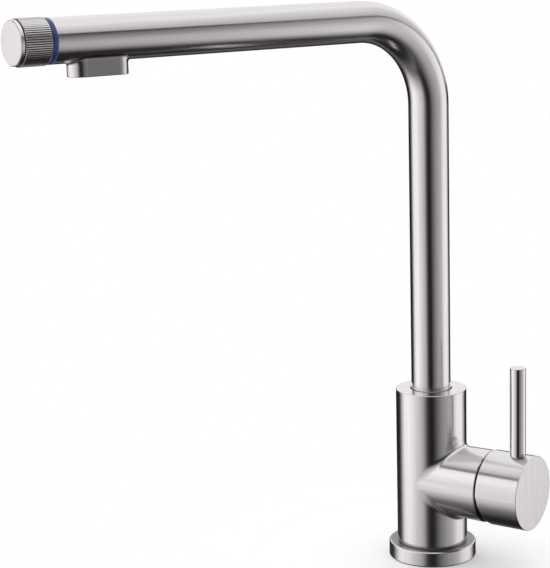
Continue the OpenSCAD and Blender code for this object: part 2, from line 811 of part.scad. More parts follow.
// Body of the quarter-turn valve, in the tube's open end.
module filter_valve_body() {
    color(brass) difference() {
        union() {
            on_spout_end(manifold_end) cylinder(r = manifold_r, h = valve_room);
            on_spout_end(manifold_end) cylinder(r = nose_r - seat_gap, h = nose_end - manifold_end);
        }
        on_spout_end(manifold_end - past)
            cylinder(r = valve_cavity_r, h = shaft_at + run_gap - manifold_end + past);
        on_spout_end(manifold_end) cylinder(r = shaft_r + run_gap, h = nose_end);
    }
}

// Fixed disc of the filtered-water valve: inlet in the middle, outlet below it.
module filter_fixed_disc() {
    color(ceramic) on_spout_end(manifold_end) difference() {
        cylinder(r = valve_disc_r, h = valve_disc_h);
        translate([0, 0, -past]) cylinder(r = nozzle_way_r, h = valve_disc_h + 2 * past);
        translate([0, -return_drop, -past]) cylinder(r = return_r, h = valve_disc_h + 2 * past);
    }
}

// Turning disc: its slot joins the two ports after a quarter turn.
module filter_turning_disc() {
    color(ceramic) on_spout_end(turning_disc_at) difference() {
        cylinder(r = valve_disc_r, h = valve_disc_h);
        translate([0, 0, -past]) linear_extrude(height = past + valve_disc_h / 2) {
            circle(r = return_r);
            translate([-return_drop, -return_r]) square([return_drop, 2 * return_r]);
            translate([-return_drop, 0]) circle(r = return_r);
        }
        translate([-valve_disc_r, -tongue_w / 2, valve_disc_h - tongue_h])
            cube([2 * valve_disc_r, tongue_w, tongue_h + past]);
    }
}

// Spindle that joins the knob to the turning disc.
module filter_spindle() {
    color(brass) difference() {
        union() {
            on_spout_end(plate_at + seat_gap) cylinder(r = valve_disc_r, h = plate_h - seat_gap);
            on_spout_end(plate_at - tongue_h + seat_gap) intersection() {
                cylinder(r = valve_disc_r, h = tongue_h + past);
                translate([-valve_disc_r, -tongue_w / 2 + seat_gap, 0])
                    cube([2 * valve_disc_r, tongue_w - 2 * seat_gap, tongue_h + past]);
            }
            on_spout_end(plate_at + seat_gap)
                cylinder(r = shaft_r, h = knob_web_at - plate_at - 2 * seat_gap);
            on_spout_end(plate_at + seat_gap)
                cylinder(r = spindle_end_r, h = spindle_end - plate_at - seat_gap);
        }
        on_spout_end(spindle_seal_at) cord_ring(shaft_r - spindle_cord_r, spindle_cord_r + seat_gap);
        on_spout_end(knob_web_end - screw_len - past)
            cylinder(r = screw_r + seat_gap, h = screw_len + 2 * past);
    }
}

// Seal round the spindle.
module spindle_seal() {
    color(rubber) on_spout_end(spindle_seal_at) cord_ring(shaft_r - spindle_cord_r, spindle_cord_r);
}

// Blue ring that marks filtered water, between the tube and the knob.
module blue_ring() {
    color(filter_blue) on_spout_end(tube_reach + seat_gap) band(tube_r, nose_r, ring_len);
}

// Outline of the knob's straight ridges.
function ridge_outline() = [
    for (i = [0 : knob_ridges - 1], step = [[0, 0], [0.25, 0], [0.5, 1], [0.75, 1]])
        let (a = (i + step[0]) * 360 / knob_ridges, r = knob_r - ridge_h * (1 - step[1]))
            [r * cos(a), r * sin(a)]
];

// Ridged knob with a web that the spindle's screw clamps.
module filter_knob() {
    color(steel) on_spout_end(knob_at) difference() {
        intersection() {
            linear_extrude(height = knob_len) polygon(ridge_outline());
            bevel_bar(knob_r + ridge_h / 2, knob_len, knob_edge + ridge_h / 2);
        }
        translate([0, 0, -past]) cylinder(r = knob_hollow_r, h = knob_web_at - knob_at + past);
        cylinder(r = spindle_end_r + seat_gap, h = knob_len);
        translate([0, 0, knob_web_end - knob_at]) cylinder(r = knob_recess_r, h = knob_len);
    }
}

// Smooth disc that closes the knob.
module knob_end_cap() {
    color(steel) difference() {
        union() {
            on_spout_end(knob_end + seat_gap) bevel_bar(end_disc_d / 2, end_disc_len - seat_gap, disc_edge);
            on_spout_end(knob_end - cap_plug_h)
                cylinder(r = knob_recess_r - seat_gap, h = cap_plug_h + end_disc_len / 2);
        }
        on_spout_end(knob_end - cap_plug_h - past)
            cylinder(r = screw_head_r + move_gap, h = past + screw_head_h + move_gap);
    }
}

// Screw that clamps the knob on the spindle.
module knob_screw() {
    color(dark_plastic) difference() {
        union() {
            on_spout_end(knob_web_end + seat_gap) cylinder(r = screw_head_r, h = screw_head_h);
            on_spout_end(knob_web_end - screw_len) cylinder(r = screw_r, h = screw_len + past);
        }
        on_spout_end(knob_web_end + screw_head_h / 2)
            cylinder(r = screw_head_r * hex_share, h = screw_head_h, $fn = 6);
    }
}

mixer_body();
base_flange();
base_seal();
inlet_core();
core_seals();
filter_riser();
cartridge_housing();
cartridge_base_seals();
cartridge_fixed_disc();
cartridge_nut();
dome_ring();
upper_glide_ring();
thrust_washer();
spout_stop_screw();
rotor_sleeve();
pivot_pin();
cartridge_moving_disc();
disc_carrier();
lever_stem();
handle_cap();
lever_rod();
handle_grub_screw();
spout_tube();
swivel_sleeve();
swivel_seals();
filter_coupler();
filter_coupler_seal();
filter_tube();
spout_manifold();
manifold_seals();
outlet_housing();
aerator_housing();
aerator_screen();
aerator_seal();
filter_nozzle();
filter_valve_body();
filter_fixed_disc();
blue_ring();
filter_knob();
knob_end_cap();
filter_spindle();
filter_turning_disc();
spindle_seal();
knob_screw();
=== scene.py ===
"""Looks of a three-way kitchen tap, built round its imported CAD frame.

Each sub-assembly is a class that works its surfaces out with numpy, in metres and in the frame's axes:
the origin is the middle of the foot on the deck, +Z is up and the handle points along +X.
"""

import json
import logging
import math
from collections.abc import Sequence
from dataclasses import dataclass, field
from enum import Enum
from functools import cache

import bmesh
import bpy
import numpy as np
from mathutils import Matrix


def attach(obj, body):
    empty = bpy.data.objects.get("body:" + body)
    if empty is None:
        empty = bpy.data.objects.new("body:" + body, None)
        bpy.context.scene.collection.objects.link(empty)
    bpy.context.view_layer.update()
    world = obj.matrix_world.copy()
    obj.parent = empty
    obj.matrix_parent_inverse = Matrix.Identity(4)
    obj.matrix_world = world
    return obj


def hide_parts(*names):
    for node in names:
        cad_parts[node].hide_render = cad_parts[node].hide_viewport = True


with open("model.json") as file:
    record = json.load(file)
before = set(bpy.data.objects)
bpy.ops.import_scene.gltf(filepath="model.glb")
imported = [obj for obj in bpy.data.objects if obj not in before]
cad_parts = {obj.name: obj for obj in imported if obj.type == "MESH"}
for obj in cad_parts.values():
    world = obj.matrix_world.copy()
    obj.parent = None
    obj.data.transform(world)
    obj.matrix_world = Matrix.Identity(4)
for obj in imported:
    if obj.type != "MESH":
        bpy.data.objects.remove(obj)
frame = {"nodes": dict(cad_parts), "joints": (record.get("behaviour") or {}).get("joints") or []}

LOG = logging.getLogger("tap")
Array = np.ndarray
Colour = tuple[float, float, float]
Stops = tuple[tuple[float, float], ...]
Socket = bpy.types.NodeSocket
Material = bpy.types.Material
Mesh = bpy.types.Mesh
Thing = bpy.types.Object

MM = 0.001
QUARTER = math.pi / 2
# Points of neighbouring patches nearer than this are one point.
WELD = 0.001 * MM
# Faces thinner than this are left over from a Boolean.
SLIVER = 0.004 * MM
# A row of points this far beside a rounded edge keeps the shading of the flat next to it.
EDGE_GUARD = 0.08 * MM
SHARP_ANGLE = math.radians(38)
COLUMNS = 192
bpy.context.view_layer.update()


class Body(Enum):
    """The moving bodies that new pieces ride on."""

    TAP = "tap_body"
    LEVER = "lever"
    SPOUT = "spout"
    KNOB = "knob"


class Slot(Enum):
    """The record's material slots."""

    BRUSHED = "brushed_steel"
    POLISHED = "polished_steel"
    BLUE = "filter_blue"
    RUBBER = "black_rubber"
    BRASS = "brass"
    WHITE = "white_plastic"
    DARK = "dark_plastic"
    CERAMIC = "ceramic"
    SCREW = "screw_steel"


class NodeSketch:
    """Short hand for building the nodes of a material or of the world."""

    def __init__(self, tree: bpy.types.NodeTree) -> None:
        """Takes a node tree and empties it."""
        self.tree = tree
        tree.nodes.clear()

    def add(self, kind: str, *values: object, settings: dict[str, object] | None = None,
            **sockets: object) -> bpy.types.Node:
        """Adds a node; an input that is given a socket is linked from it, and any other gets its value.

        Args:
            kind: Blender's name of the node's type, less its "ShaderNode".
            values: inputs in the node's own order.
            settings: properties of the node itself.
            sockets: inputs by name, with _ for a blank.

        Returns:
            The new node.
        """
        node = self.tree.nodes.new("ShaderNode" + kind)
        for name, value in (settings or {}).items():
            setattr(node, name, value)
        named = [(node.inputs[name.replace("_", " ")], value) for name, value in sockets.items()]
        for socket, value in [*zip(node.inputs, values), *named]:
            if isinstance(value, Socket):
                self.tree.links.new(value, socket)
            else:
                socket.default_value = value
        return node

    def calculate(self, operation: str, *values: Socket | float) -> Socket:
        """Adds a Math node and gives its value."""
        return self.add("Math", *values, settings={"operation": operation}).outputs["Value"]

    def noise(self, place: Socket, scale: float, detail: float, roughness: float) -> Socket:
        """Adds a noise pattern and gives its value."""
        node = self.add("TexNoise", Vector=place, Scale=scale, Detail=detail, Roughness=roughness)
        return node.outputs["Fac"]

    def distance(self, vector: Socket) -> Socket:
        """Adds a node that measures a vector's length and gives it."""
        return self.add("VectorMath", settings={"operation": "LENGTH"}, Vector=vector).outputs["Value"]

    def spread(self, share: Socket, low: float, high: float,
               start: float = 0.3, stop: float = 0.7) -> Socket:
        """Maps a value from start and stop to low and high; the usual start and stop fit noise."""
        node = self.add("MapRange", Value=share, From_Min=start, From_Max=stop, To_Min=low, To_Max=high)
        return node.outputs["Result"]

    def blend(self, share: Socket, low: Colour, high: Colour) -> Socket:
        """Blends two colours.

        Args:
            share: socket that runs from 0 at low to 1 at high.
            low: first colour.
            high: second colour.

        Returns:
            The colour output.
        """
        ramp = self.add("ValToRGB", Fac=share)
        for stop, colour in zip(ramp.color_ramp.elements, (low, high)):
            stop.color = (*colour, 1.0)
        return ramp.outputs["Color"]

    def glow(self, colour: Socket | Sequence[float], strength: Socket | float) -> None:
        """Ends a material in plain emitted light."""
        light = self.add("Emission", Color=colour, Strength=strength)
        self.add("OutputMaterial", Surface=light.outputs["Emission"])


def new_material(name: str) -> tuple[Material, NodeSketch]:
    """Makes an empty node material.

    Args:
        name: name of the material.

    Returns:
        The material and the sketch of its nodes.
    """
    material = bpy.data.materials.new(name)
    material.use_nodes = True
    return material, NodeSketch(material.node_tree)


@dataclass(frozen=True)
class Streaks:
    """Long streaks of noise, by their waves to a metre across and along the grain."""

    across: float
    along: float
    detail: float
    roughness: float

    def value(self, sketch: NodeSketch, uv: Socket) -> Socket:
        """Stretches the UV map by the waves and gives the noise on it."""
        stretched = sketch.add("Mapping", Vector=uv, Scale=(self.across, self.along, 1.0))
        return sketch.noise(stretched.outputs["Vector"], 1.0, self.detail, self.roughness)


@dataclass(frozen=True)
class SteelFinish:
    """Stainless steel whose grain runs along the second direction of the surface's UV map, in metres."""

    name: str
    slot: Slot
    dull: Colour
    bright: Colour
    smooth: float
    rough: float
    fine: Streaks = Streaks(across=1300.0, along=16.0, detail=3.0, roughness=0.6)
    wide: Streaks = Streaks(across=260.0, along=5.0, detail=4.0, roughness=0.55)
    bump: float = 0.35
    grain_depth: float = 0.012 * MM

    def material(self) -> Material:
        """Builds the finish: fine and wide streaks in colour and roughness, and the fine ones in bump.

        Returns:
            The material.
        """
        material, sketch = new_material(self.name)
        uv = sketch.add("TexCoord").outputs["UV"]
        fine, wide = self.fine.value(sketch, uv), self.wide.value(sketch, uv)
        mean = sketch.calculate("MULTIPLY", sketch.calculate("ADD", fine, wide), 0.5)
        share = sketch.spread(mean, 0.0, 1.0)
        bump = sketch.add("Bump", Height=fine, Strength=self.bump, Distance=self.grain_depth)
        shader = sketch.add(
            "BsdfPrincipled",
            Base_Color=self.toned(sketch, uv, sketch.blend(share, self.dull, self.bright)),
            Metallic=1.0,
            Roughness=sketch.spread(share, self.rough, self.smooth, 0.0, 1.0),
            Normal=bump.outputs["Normal"],
        )
        sketch.add("OutputMaterial", Surface=shader.outputs["BSDF"])
        return material

    def toned(self, sketch: NodeSketch, uv: Socket, colour: Socket) -> Socket:
        """Leaves the grain's colour as it is."""
        return colour


@dataclass(frozen=True)
class FlankShadeFinish(SteelFinish):
    """Steel of an oblong piece with painted shade on its two flanks, darker there than on its round ends.

    The flanks are where a cosine with two waves round the outline is high: the tone falls from 1 to the
    flank's painted shade as the cosine goes through the fade.
    """

    outline_run: float = 1.0
    flank_at: float = 0.25
    flank_painted_shade: float = 0.42
    fade: tuple[float, float] = (-0.45, 0.25)

    def toned(self, sketch: NodeSketch, uv: Socket, colour: Socket) -> Socket:
        """Paints shade on the flanks.

        Args:
            sketch: nodes of the material.
            uv: lengths along the surface, with the run round the outline first.
            colour: colour of the grain.

        Returns:
            The colour with the painted shade on the flanks.
        """
        run = sketch.add("SeparateXYZ", Vector=uv).outputs["X"]
        waves = 4 * math.pi
        start = -waves * self.flank_at / self.outline_run
        wave = sketch.calculate("COSINE", sketch.spread(run, start, start + waves, 0.0, self.outline_run))
        # Painted shade: on the flanks the colour falls to the flank's painted shade.
        tone = sketch.spread(wave, 1.0, self.flank_painted_shade, *self.fade)
        mix = sketch.add("MixRGB", settings={"blend_type": "MULTIPLY"}, Fac=1.0, Color1=colour, Color2=tone)
        return mix.outputs["Color"]


@dataclass(frozen=True)
class GrainFinish:
    """Moulded, cast or turned surface whose fine grain reads the object's own coordinates."""

    name: str
    slot: Slot
    low: Colour
    high: Colour
    metallic: float
    smooth: float
    rough: float
    coat: float = 0.0
    coat_roughness: float = 0.12
    grain: float = 900.0
    cloud: float = 60.0
    bump: float = 0.3
    grain_depth: float = 0.02 * MM

    def material(self) -> Material:
        """Builds the finish: wide noise in colour, and fine noise in roughness and bump.

        Returns:
            The material.
        """
        material, sketch = new_material(self.name)
        place = sketch.add("TexCoord").outputs["Object"]
        grain = sketch.noise(place, self.grain, detail=4.0, roughness=0.6)
        cloud = sketch.noise(place, self.cloud, detail=2.0, roughness=0.5)
        bump = sketch.add("Bump", Height=grain, Strength=self.bump, Distance=self.grain_depth)
        shader = sketch.add(
            "BsdfPrincipled",
            Base_Color=sketch.blend(sketch.spread(cloud, 0.0, 1.0), self.low, self.high),
            Metallic=self.metallic,
            Roughness=sketch.spread(grain, self.smooth, self.rough),
            Coat_Weight=self.coat,
            Coat_Roughness=self.coat_roughness,
            Normal=bump.outputs["Normal"],
        )
        sketch.add("OutputMaterial", Surface=shader.outputs["BSDF"])
        return material


BRUSHED = SteelFinish(
    "brushed_steel", Slot.BRUSHED, (0.695, 0.68, 0.687), (0.822, 0.805, 0.813), smooth=0.14, rough=0.22,
)
TURNED = SteelFinish(
    "turned_steel_face", Slot.BRUSHED, (0.845, 0.833, 0.842), (0.885, 0.873, 0.882), smooth=0.22, rough=0.27,
)
POLISHED = SteelFinish(
    "polished_steel", Slot.POLISHED, (0.69, 0.675, 0.682), (0.77, 0.755, 0.762), smooth=0.07, rough=0.12,
)
# Painted shade: near-black steel for the faces in the gap between the column and the cap.
SHADE = SteelFinish(
    "shaded_steel", Slot.BRUSHED, (0.022, 0.021, 0.021), (0.04, 0.039, 0.039), smooth=0.4, rough=0.5,
)
# Painted shade: darker steel on the foot's flat top ring, standing in for its dark reflections and contact
# shade.
FLAT_RING_SHADE = SteelFinish(
    "flat_ring_painted_shade", Slot.BRUSHED, (0.2, 0.19, 0.194), (0.3, 0.285, 0.291), smooth=0.25, rough=0.35,
)
# Painted shade: dark steel for the floors of the knob's grooves, where shade falls between the ridges.
GROOVE_SHADE = SteelFinish(
    "groove_painted_shade", Slot.BRUSHED, (0.1, 0.095, 0.097), (0.15, 0.142, 0.145), smooth=0.35, rough=0.45,
)
BLUE = GrainFinish(
    "filter_blue", Slot.BLUE, (0.004, 0.019, 0.11), (0.008, 0.032, 0.17),
    metallic=0.0, smooth=0.28, rough=0.4, coat=0.35,
)
RUBBER = GrainFinish(
    "seal_rubber", Slot.RUBBER, (0.012, 0.012, 0.012), (0.03, 0.03, 0.03),
    metallic=0.0, smooth=0.55, rough=0.75,
)
BRASS = GrainFinish(
    "turned_brass", Slot.BRASS, (0.68, 0.49, 0.2), (0.82, 0.63, 0.31),
    metallic=1.0, smooth=0.2, rough=0.36,
)
WHITE = GrainFinish(
    "white_plastic", Slot.WHITE, (0.74, 0.72, 0.66), (0.82, 0.8, 0.75),
    metallic=0.0, smooth=0.38, rough=0.52,
)
DARK = GrainFinish(
    "dark_plastic", Slot.DARK, (0.025, 0.025, 0.028), (0.05, 0.05, 0.055),
    metallic=0.0, smooth=0.36, rough=0.5,
)
CERAMIC = GrainFinish(
    "valve_ceramic", Slot.CERAMIC, (0.82, 0.8, 0.76), (0.9, 0.88, 0.85),
    metallic=0.0, smooth=0.12, rough=0.2,
)
SCREW = GrainFinish(
    "screw_steel", Slot.SCREW, (0.22, 0.22, 0.23), (0.36, 0.36, 0.37),
    metallic=1.0, smooth=0.28, rough=0.42,
)

Finish = SteelFinish | GrainFinish


@cache
def material_of(finish: Finish) -> Material:
    """Gives a finish's material, which is made once."""
    return finish.material()


@dataclass(frozen=True)
class Placement:
    """Where a piece's own x, y and z axes lie in the frame."""

    origin: Sequence[float]
    x: Sequence[float]
    y: Sequence[float]
    z: Sequence[float]

    def put(self, points: Array) -> Array:
        """Places local points: origin plus each coordinate times its axis."""
        return np.asarray(self.origin) + points @ np.array([self.x, self.y, self.z], float)

    def moved(self, along: float) -> "Placement":
        """The same axes, moved along the local z."""
        return Placement(np.asarray(self.origin) + along * np.asarray(self.z), self.x, self.y, self.z)


@dataclass(frozen=True)
class Corner:
    """A corner of an outline: across and up, and the radius that rounds it."""

    across: float
    up: float
    bend: float = 0.0


@dataclass
class Patch:
    """A grid of surface points with the two lengths along it, both as arrays of rows and columns."""

    points: Array
    lengths: Array

    @property
    def faces(self) -> Array:
        """Corner numbers of the grid's quads.

        Returns:
            Rows of four numbers.
        """
        rows, columns = self.points.shape[:2]
        number = np.arange(rows * columns).reshape(rows, columns)
        corners = (number[:-1, :-1], number[:-1, 1:], number[1:, 1:], number[1:, :-1])
        return np.stack(corners, -1).reshape(-1, 4)


def stacked(*values: Array | float) -> Array:
    """Spreads values to one shape and stacks them along a new last axis."""
    return np.stack(np.broadcast_arrays(*values), -1)


def unit(vectors: Array) -> Array:
    """Vectors of length 1, with the coordinates last."""
    return vectors / np.linalg.norm(vectors, axis=-1, keepdims=True)


def full_turn(columns: int) -> Array:
    """Angles of a full turn, with both of its ends."""
    return np.linspace(-math.pi, math.pi, columns + 1)


def round_points(radius: Array | float, angle: Array, height: Array | float) -> Array:
    """Points round the local z: (r cos a, r sin a, h)."""
    return stacked(radius * np.cos(angle), radius * np.sin(angle), height)


def arc_between(centre: Array, start: Array, end: Array, steps: int) -> Array:
    """Points of the shorter arc about a centre: a turn by equal angles from one arm to the other.

    The arm at share k is (sin((1 - k) w) start + sin(k w) end) / sin w, with w the angle between the arms.

    Args:
        centre: arc's centre, or many of them, with the coordinates last.
        start: arm from the centre to the arc's start.
        end: arm from the centre to the arc's end.
        steps: number of steps.

    Returns:
        The points, with the steps as a new first axis.
    """
    size = np.linalg.norm(start, axis=-1, keepdims=True) * np.linalg.norm(end, axis=-1, keepdims=True)
    angle = np.arccos(np.clip(np.sum(start * end, -1, keepdims=True) / size, -1, 1))
    share = np.linspace(0, 1, steps + 1).reshape((-1,) + (1,) * np.ndim(start))
    return centre + (np.sin((1 - share) * angle) * start + np.sin(share * angle) * end) / np.sin(angle)


def corner_arc(before: Array, here: Array, after: Array, bend: float, steps: int = 8) -> Array:
    """Rounds a corner, or many corners at once, with a guard point at both ends of the arc.

    With u and w the unit directions to both neighbours and a the angle between them, the arc starts
    bend / tan(a / 2) away from the corner, and its centre is bend / sin(a / 2) away along u + w.

    Args:
        before: point before the corner, with the coordinates last.
        here: the corner.
        after: point after it.
        bend: radius of the arc, 0 for a sharp corner.
        steps: number of steps of the arc.

    Returns:
        The points, with the steps as the first axis.
    """
    if bend == 0:
        return np.asarray(here)[None]
    to_before, to_after = unit(before - here), unit(after - here)
    half = np.arccos(np.sum(to_before * to_after, -1, keepdims=True)) / 2
    reach = bend / np.tan(half)
    centre = here + unit(to_before + to_after) * bend / np.sin(half)
    start, end = here + to_before * reach, here + to_after * reach
    arc = arc_between(centre, start - centre, end - centre, steps)
    guards = start + to_before * EDGE_GUARD, end + to_after * EDGE_GUARD
    return np.concatenate([guards[0][None], arc, guards[1][None]])


def outline(*corners: Corner) -> Array:
    """Runs through corners and rounds those between the first and the last.

    Args:
        corners: the corners in order; a closed outline ends where it starts.

    Returns:
        Points as rows of across and up.
    """
    spots = np.array([(corner.across, corner.up) for corner in corners])
    rounded = [corner_arc(*spots[i - 1:i + 2], corners[i].bend) for i in range(1, len(corners) - 1)]
    return np.concatenate([spots[:1], *rounded, spots[-1:]])


def run_lengths(points: Array) -> Array:
    """Length along a row of points up to each of them."""
    steps = np.linalg.norm(np.diff(points, axis=0), axis=-1)
    return np.concatenate([[0.0], np.cumsum(steps)])


def revolved(profile: Array, place: Placement, columns: int = COLUMNS) -> Patch:
    """Turns a profile about the local z: a circle at each profile point's radius and height.

    Args:
        profile: rows of radius and height.
        place: where the axis lies.
        columns: number of columns round the axis.

    Returns:
        The patch; its lengths are the arc round the widest place and the run along the profile.
    """
    angle = full_turn(columns)
    points = round_points(profile[:, :1], angle, profile[:, 1:])
    lengths = stacked(angle * profile[:, 0].max(), run_lengths(profile)[:, None])
    return Patch(place.put(points), lengths)


def flat_disc(radius: float, height: float, place: Placement) -> Patch:
    """Fills a circle with rings from its middle: none, half and all of the radius, at one height.

    Args:
        radius: radius of the disc.
        height: its height on the local z.
        place: where the axis lies.

    Returns:
        The patch; its lengths are straight across the disc.
    """
    angle = full_turn(COLUMNS)
    reach = radius * np.array([[0.0], [0.5], [1.0]])
    lengths = stacked(reach * np.sin(angle), reach * np.cos(angle))
    return Patch(place.put(round_points(reach, angle, height)), lengths)


def grid_mesh(name: str, patches: Sequence[Patch]) -> Mesh:
    """Puts patches into one mesh.

    Args:
        name: name of the mesh.
        patches: the patches.

    Returns:
        The mesh, with the patches' lengths as a UV map in metres.
    """
    first = np.cumsum([0] + [patch.points[..., 0].size for patch in patches])
    points = np.concatenate([patch.points.reshape(-1, 3) for patch in patches])
    lengths = np.concatenate([patch.lengths.reshape(-1, 2) for patch in patches])
    faces = np.concatenate([patch.faces + start for patch, start in zip(patches, first)])
    mesh = bpy.data.meshes.new(name)
    mesh.from_pydata(points.tolist(), [], faces.tolist())
    mesh.uv_layers.new(name="lengths").data.foreach_set("uv", lengths[faces.ravel()].ravel())
    return mesh


def joined_mesh(name: str, patches: Sequence[Patch]) -> Mesh:
    """Joins patches into one closed mesh, welds their seams and poles and turns the faces outwards.

    Args:
        name: name of the mesh.
        patches: the patches.

    Returns:
        The mesh.
    """
    mesh = grid_mesh(name, patches)
    shape = bmesh.new()
    shape.from_mesh(mesh)
    bmesh.ops.remove_doubles(shape, verts=shape.verts, dist=WELD)
    bmesh.ops.recalc_face_normals(shape, faces=shape.faces)
    shape.to_mesh(mesh)
    shape.free()
    return mesh


def lathed(name: str, place: Placement, *corners: Corner,
           columns: int = COLUMNS, capped: bool = False) -> Mesh:
    """Turns a rounded outline about the local z into a closed mesh.

    Args:
        name: name of the mesh.
        place: where the axis lies.
        corners: corners of the outline, as radius and height.
        columns: number of columns round the axis.
        capped: whether a flat disc closes the outline at its last corner.

    Returns:
        The mesh.
    """
    patches = [revolved(outline(*corners), place, columns)]
    if capped:
        patches.append(flat_disc(corners[-1].across, corners[-1].up, place))
    return joined_mesh(name, patches)


def rod_tool(radius: float, start: float, end: float, place: Placement, columns: int = 64) -> Mesh:
    """Makes a round cutting tool about the local z, from start to end."""
    profile = np.array([(0.0, start), (radius, start), (radius, end), (0.0, end)])
    return joined_mesh("tool", [revolved(profile, place, columns)])


def drilled(mesh: Mesh, *tools: Mesh) -> Mesh:
    """Takes tools out of a closed mesh with exact Booleans, and clears the slivers that they leave.

    Args:
        mesh: the mesh.
        tools: meshes of the holes.

    Returns:
        The drilled mesh, under the first mesh's name.
    """
    blank = bpy.data.objects.new("blank", mesh)
    cutters = [bpy.data.objects.new("cutter", tool) for tool in tools]
    for thing in (blank, *cutters):
        bpy.context.scene.collection.objects.link(thing)
    for cutter in cutters:
        modifier = blank.modifiers.new("drill", "BOOLEAN")
        modifier.operation = "DIFFERENCE"
        modifier.solver = "EXACT"
        modifier.object = cutter
    graph = bpy.context.evaluated_depsgraph_get()
    result = bpy.data.meshes.new_from_object(blank.evaluated_get(graph))
    result.name = mesh.name
    for thing in (blank, *cutters):
        bpy.data.objects.remove(thing)
    shape = bmesh.new()
    shape.from_mesh(result)
    bmesh.ops.triangulate(shape, faces=[face for face in shape.faces if len(face.verts) > 4])
    bmesh.ops.remove_doubles(shape, verts=shape.verts, dist=SLIVER)
    bmesh.ops.dissolve_degenerate(shape, dist=SLIVER, edges=shape.edges)
    shape.to_mesh(result)
    shape.free()
    return result


def place_piece(mesh: Mesh, body: Body, finish: Finish, *nodes: str) -> Thing:
    """Shows a mesh as a piece that rides on a body and stands for CAD nodes.

    Args:
        mesh: the piece's mesh, in the frame.
        body: body that it rides on.
        finish: its finish.
        nodes: CAD nodes that it stands for.

    Returns:
        The piece.
    """
    mesh.materials.clear()
    mesh.materials.append(material_of(finish))
    mesh.polygons.foreach_set("material_index", np.zeros(len(mesh.polygons), np.int32))
    mesh.shade_smooth()
    mesh.set_sharp_from_angle(angle=SHARP_ANGLE)
    piece = bpy.data.objects.new(mesh.name, mesh)
    bpy.context.scene.collection.objects.link(piece)
    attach(piece, body.value)
    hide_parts(*nodes)
    LOG.info("%s: %d faces on %s", piece.name, len(mesh.polygons), body.value)
    return piece


def shade_faces(piece: Thing, finish: Finish, chosen: Array) -> None:
    """Gives a piece's chosen faces, by one truth value for each face, a second finish."""
    piece.data.materials.append(material_of(finish))
    piece.data.polygons.foreach_set("material_index", chosen.astype(np.int32))


def face_vectors(piece: Thing, kind: str) -> Array:
    """Reads the centres or the normals of a piece's faces.

    Args:
        piece: the piece.
        kind: "center" or "normal".

    Returns:
        One row for each face.
    """
    values = np.empty(3 * len(piece.data.polygons), np.float32)
    piece.data.polygons.foreach_get(kind, values)
    return values.reshape(-1, 3)


JOINTS = {joint["name"]: joint for joint in frame["joints"]}
UP = np.array([0.0, 0.0, 1.0])
SPOUT_WAY = unit(np.array(JOINTS["knob_turn"]["axis"]))
SPOUT_SIDE = np.cross(SPOUT_WAY, UP)
SPOUT_HEIGHT = JOINTS["knob_turn"]["pos_m"][2]
LEVER_PIVOT, _, HANDLE_HEIGHT = JOINTS["lever_flow"]["pos_m"]
LEVER_TILT = math.radians(JOINTS["lever_flow"]["range_deg"][1])
TUBE_RADIUS = 12.5 * MM
FIT_GAP = 0.02 * MM
STANDING = Placement((0, 0, 0), (1, 0, 0), (0, 1, 0), (0, 0, 1))
ON_HANDLE = Placement((0, 0, HANDLE_HEIGHT), (0, 0, 1), (0, -1, 0), (1, 0, 0))
ON_SPOUT = Placement((0, 0, SPOUT_HEIGHT), UP, SPOUT_SIDE, SPOUT_WAY)


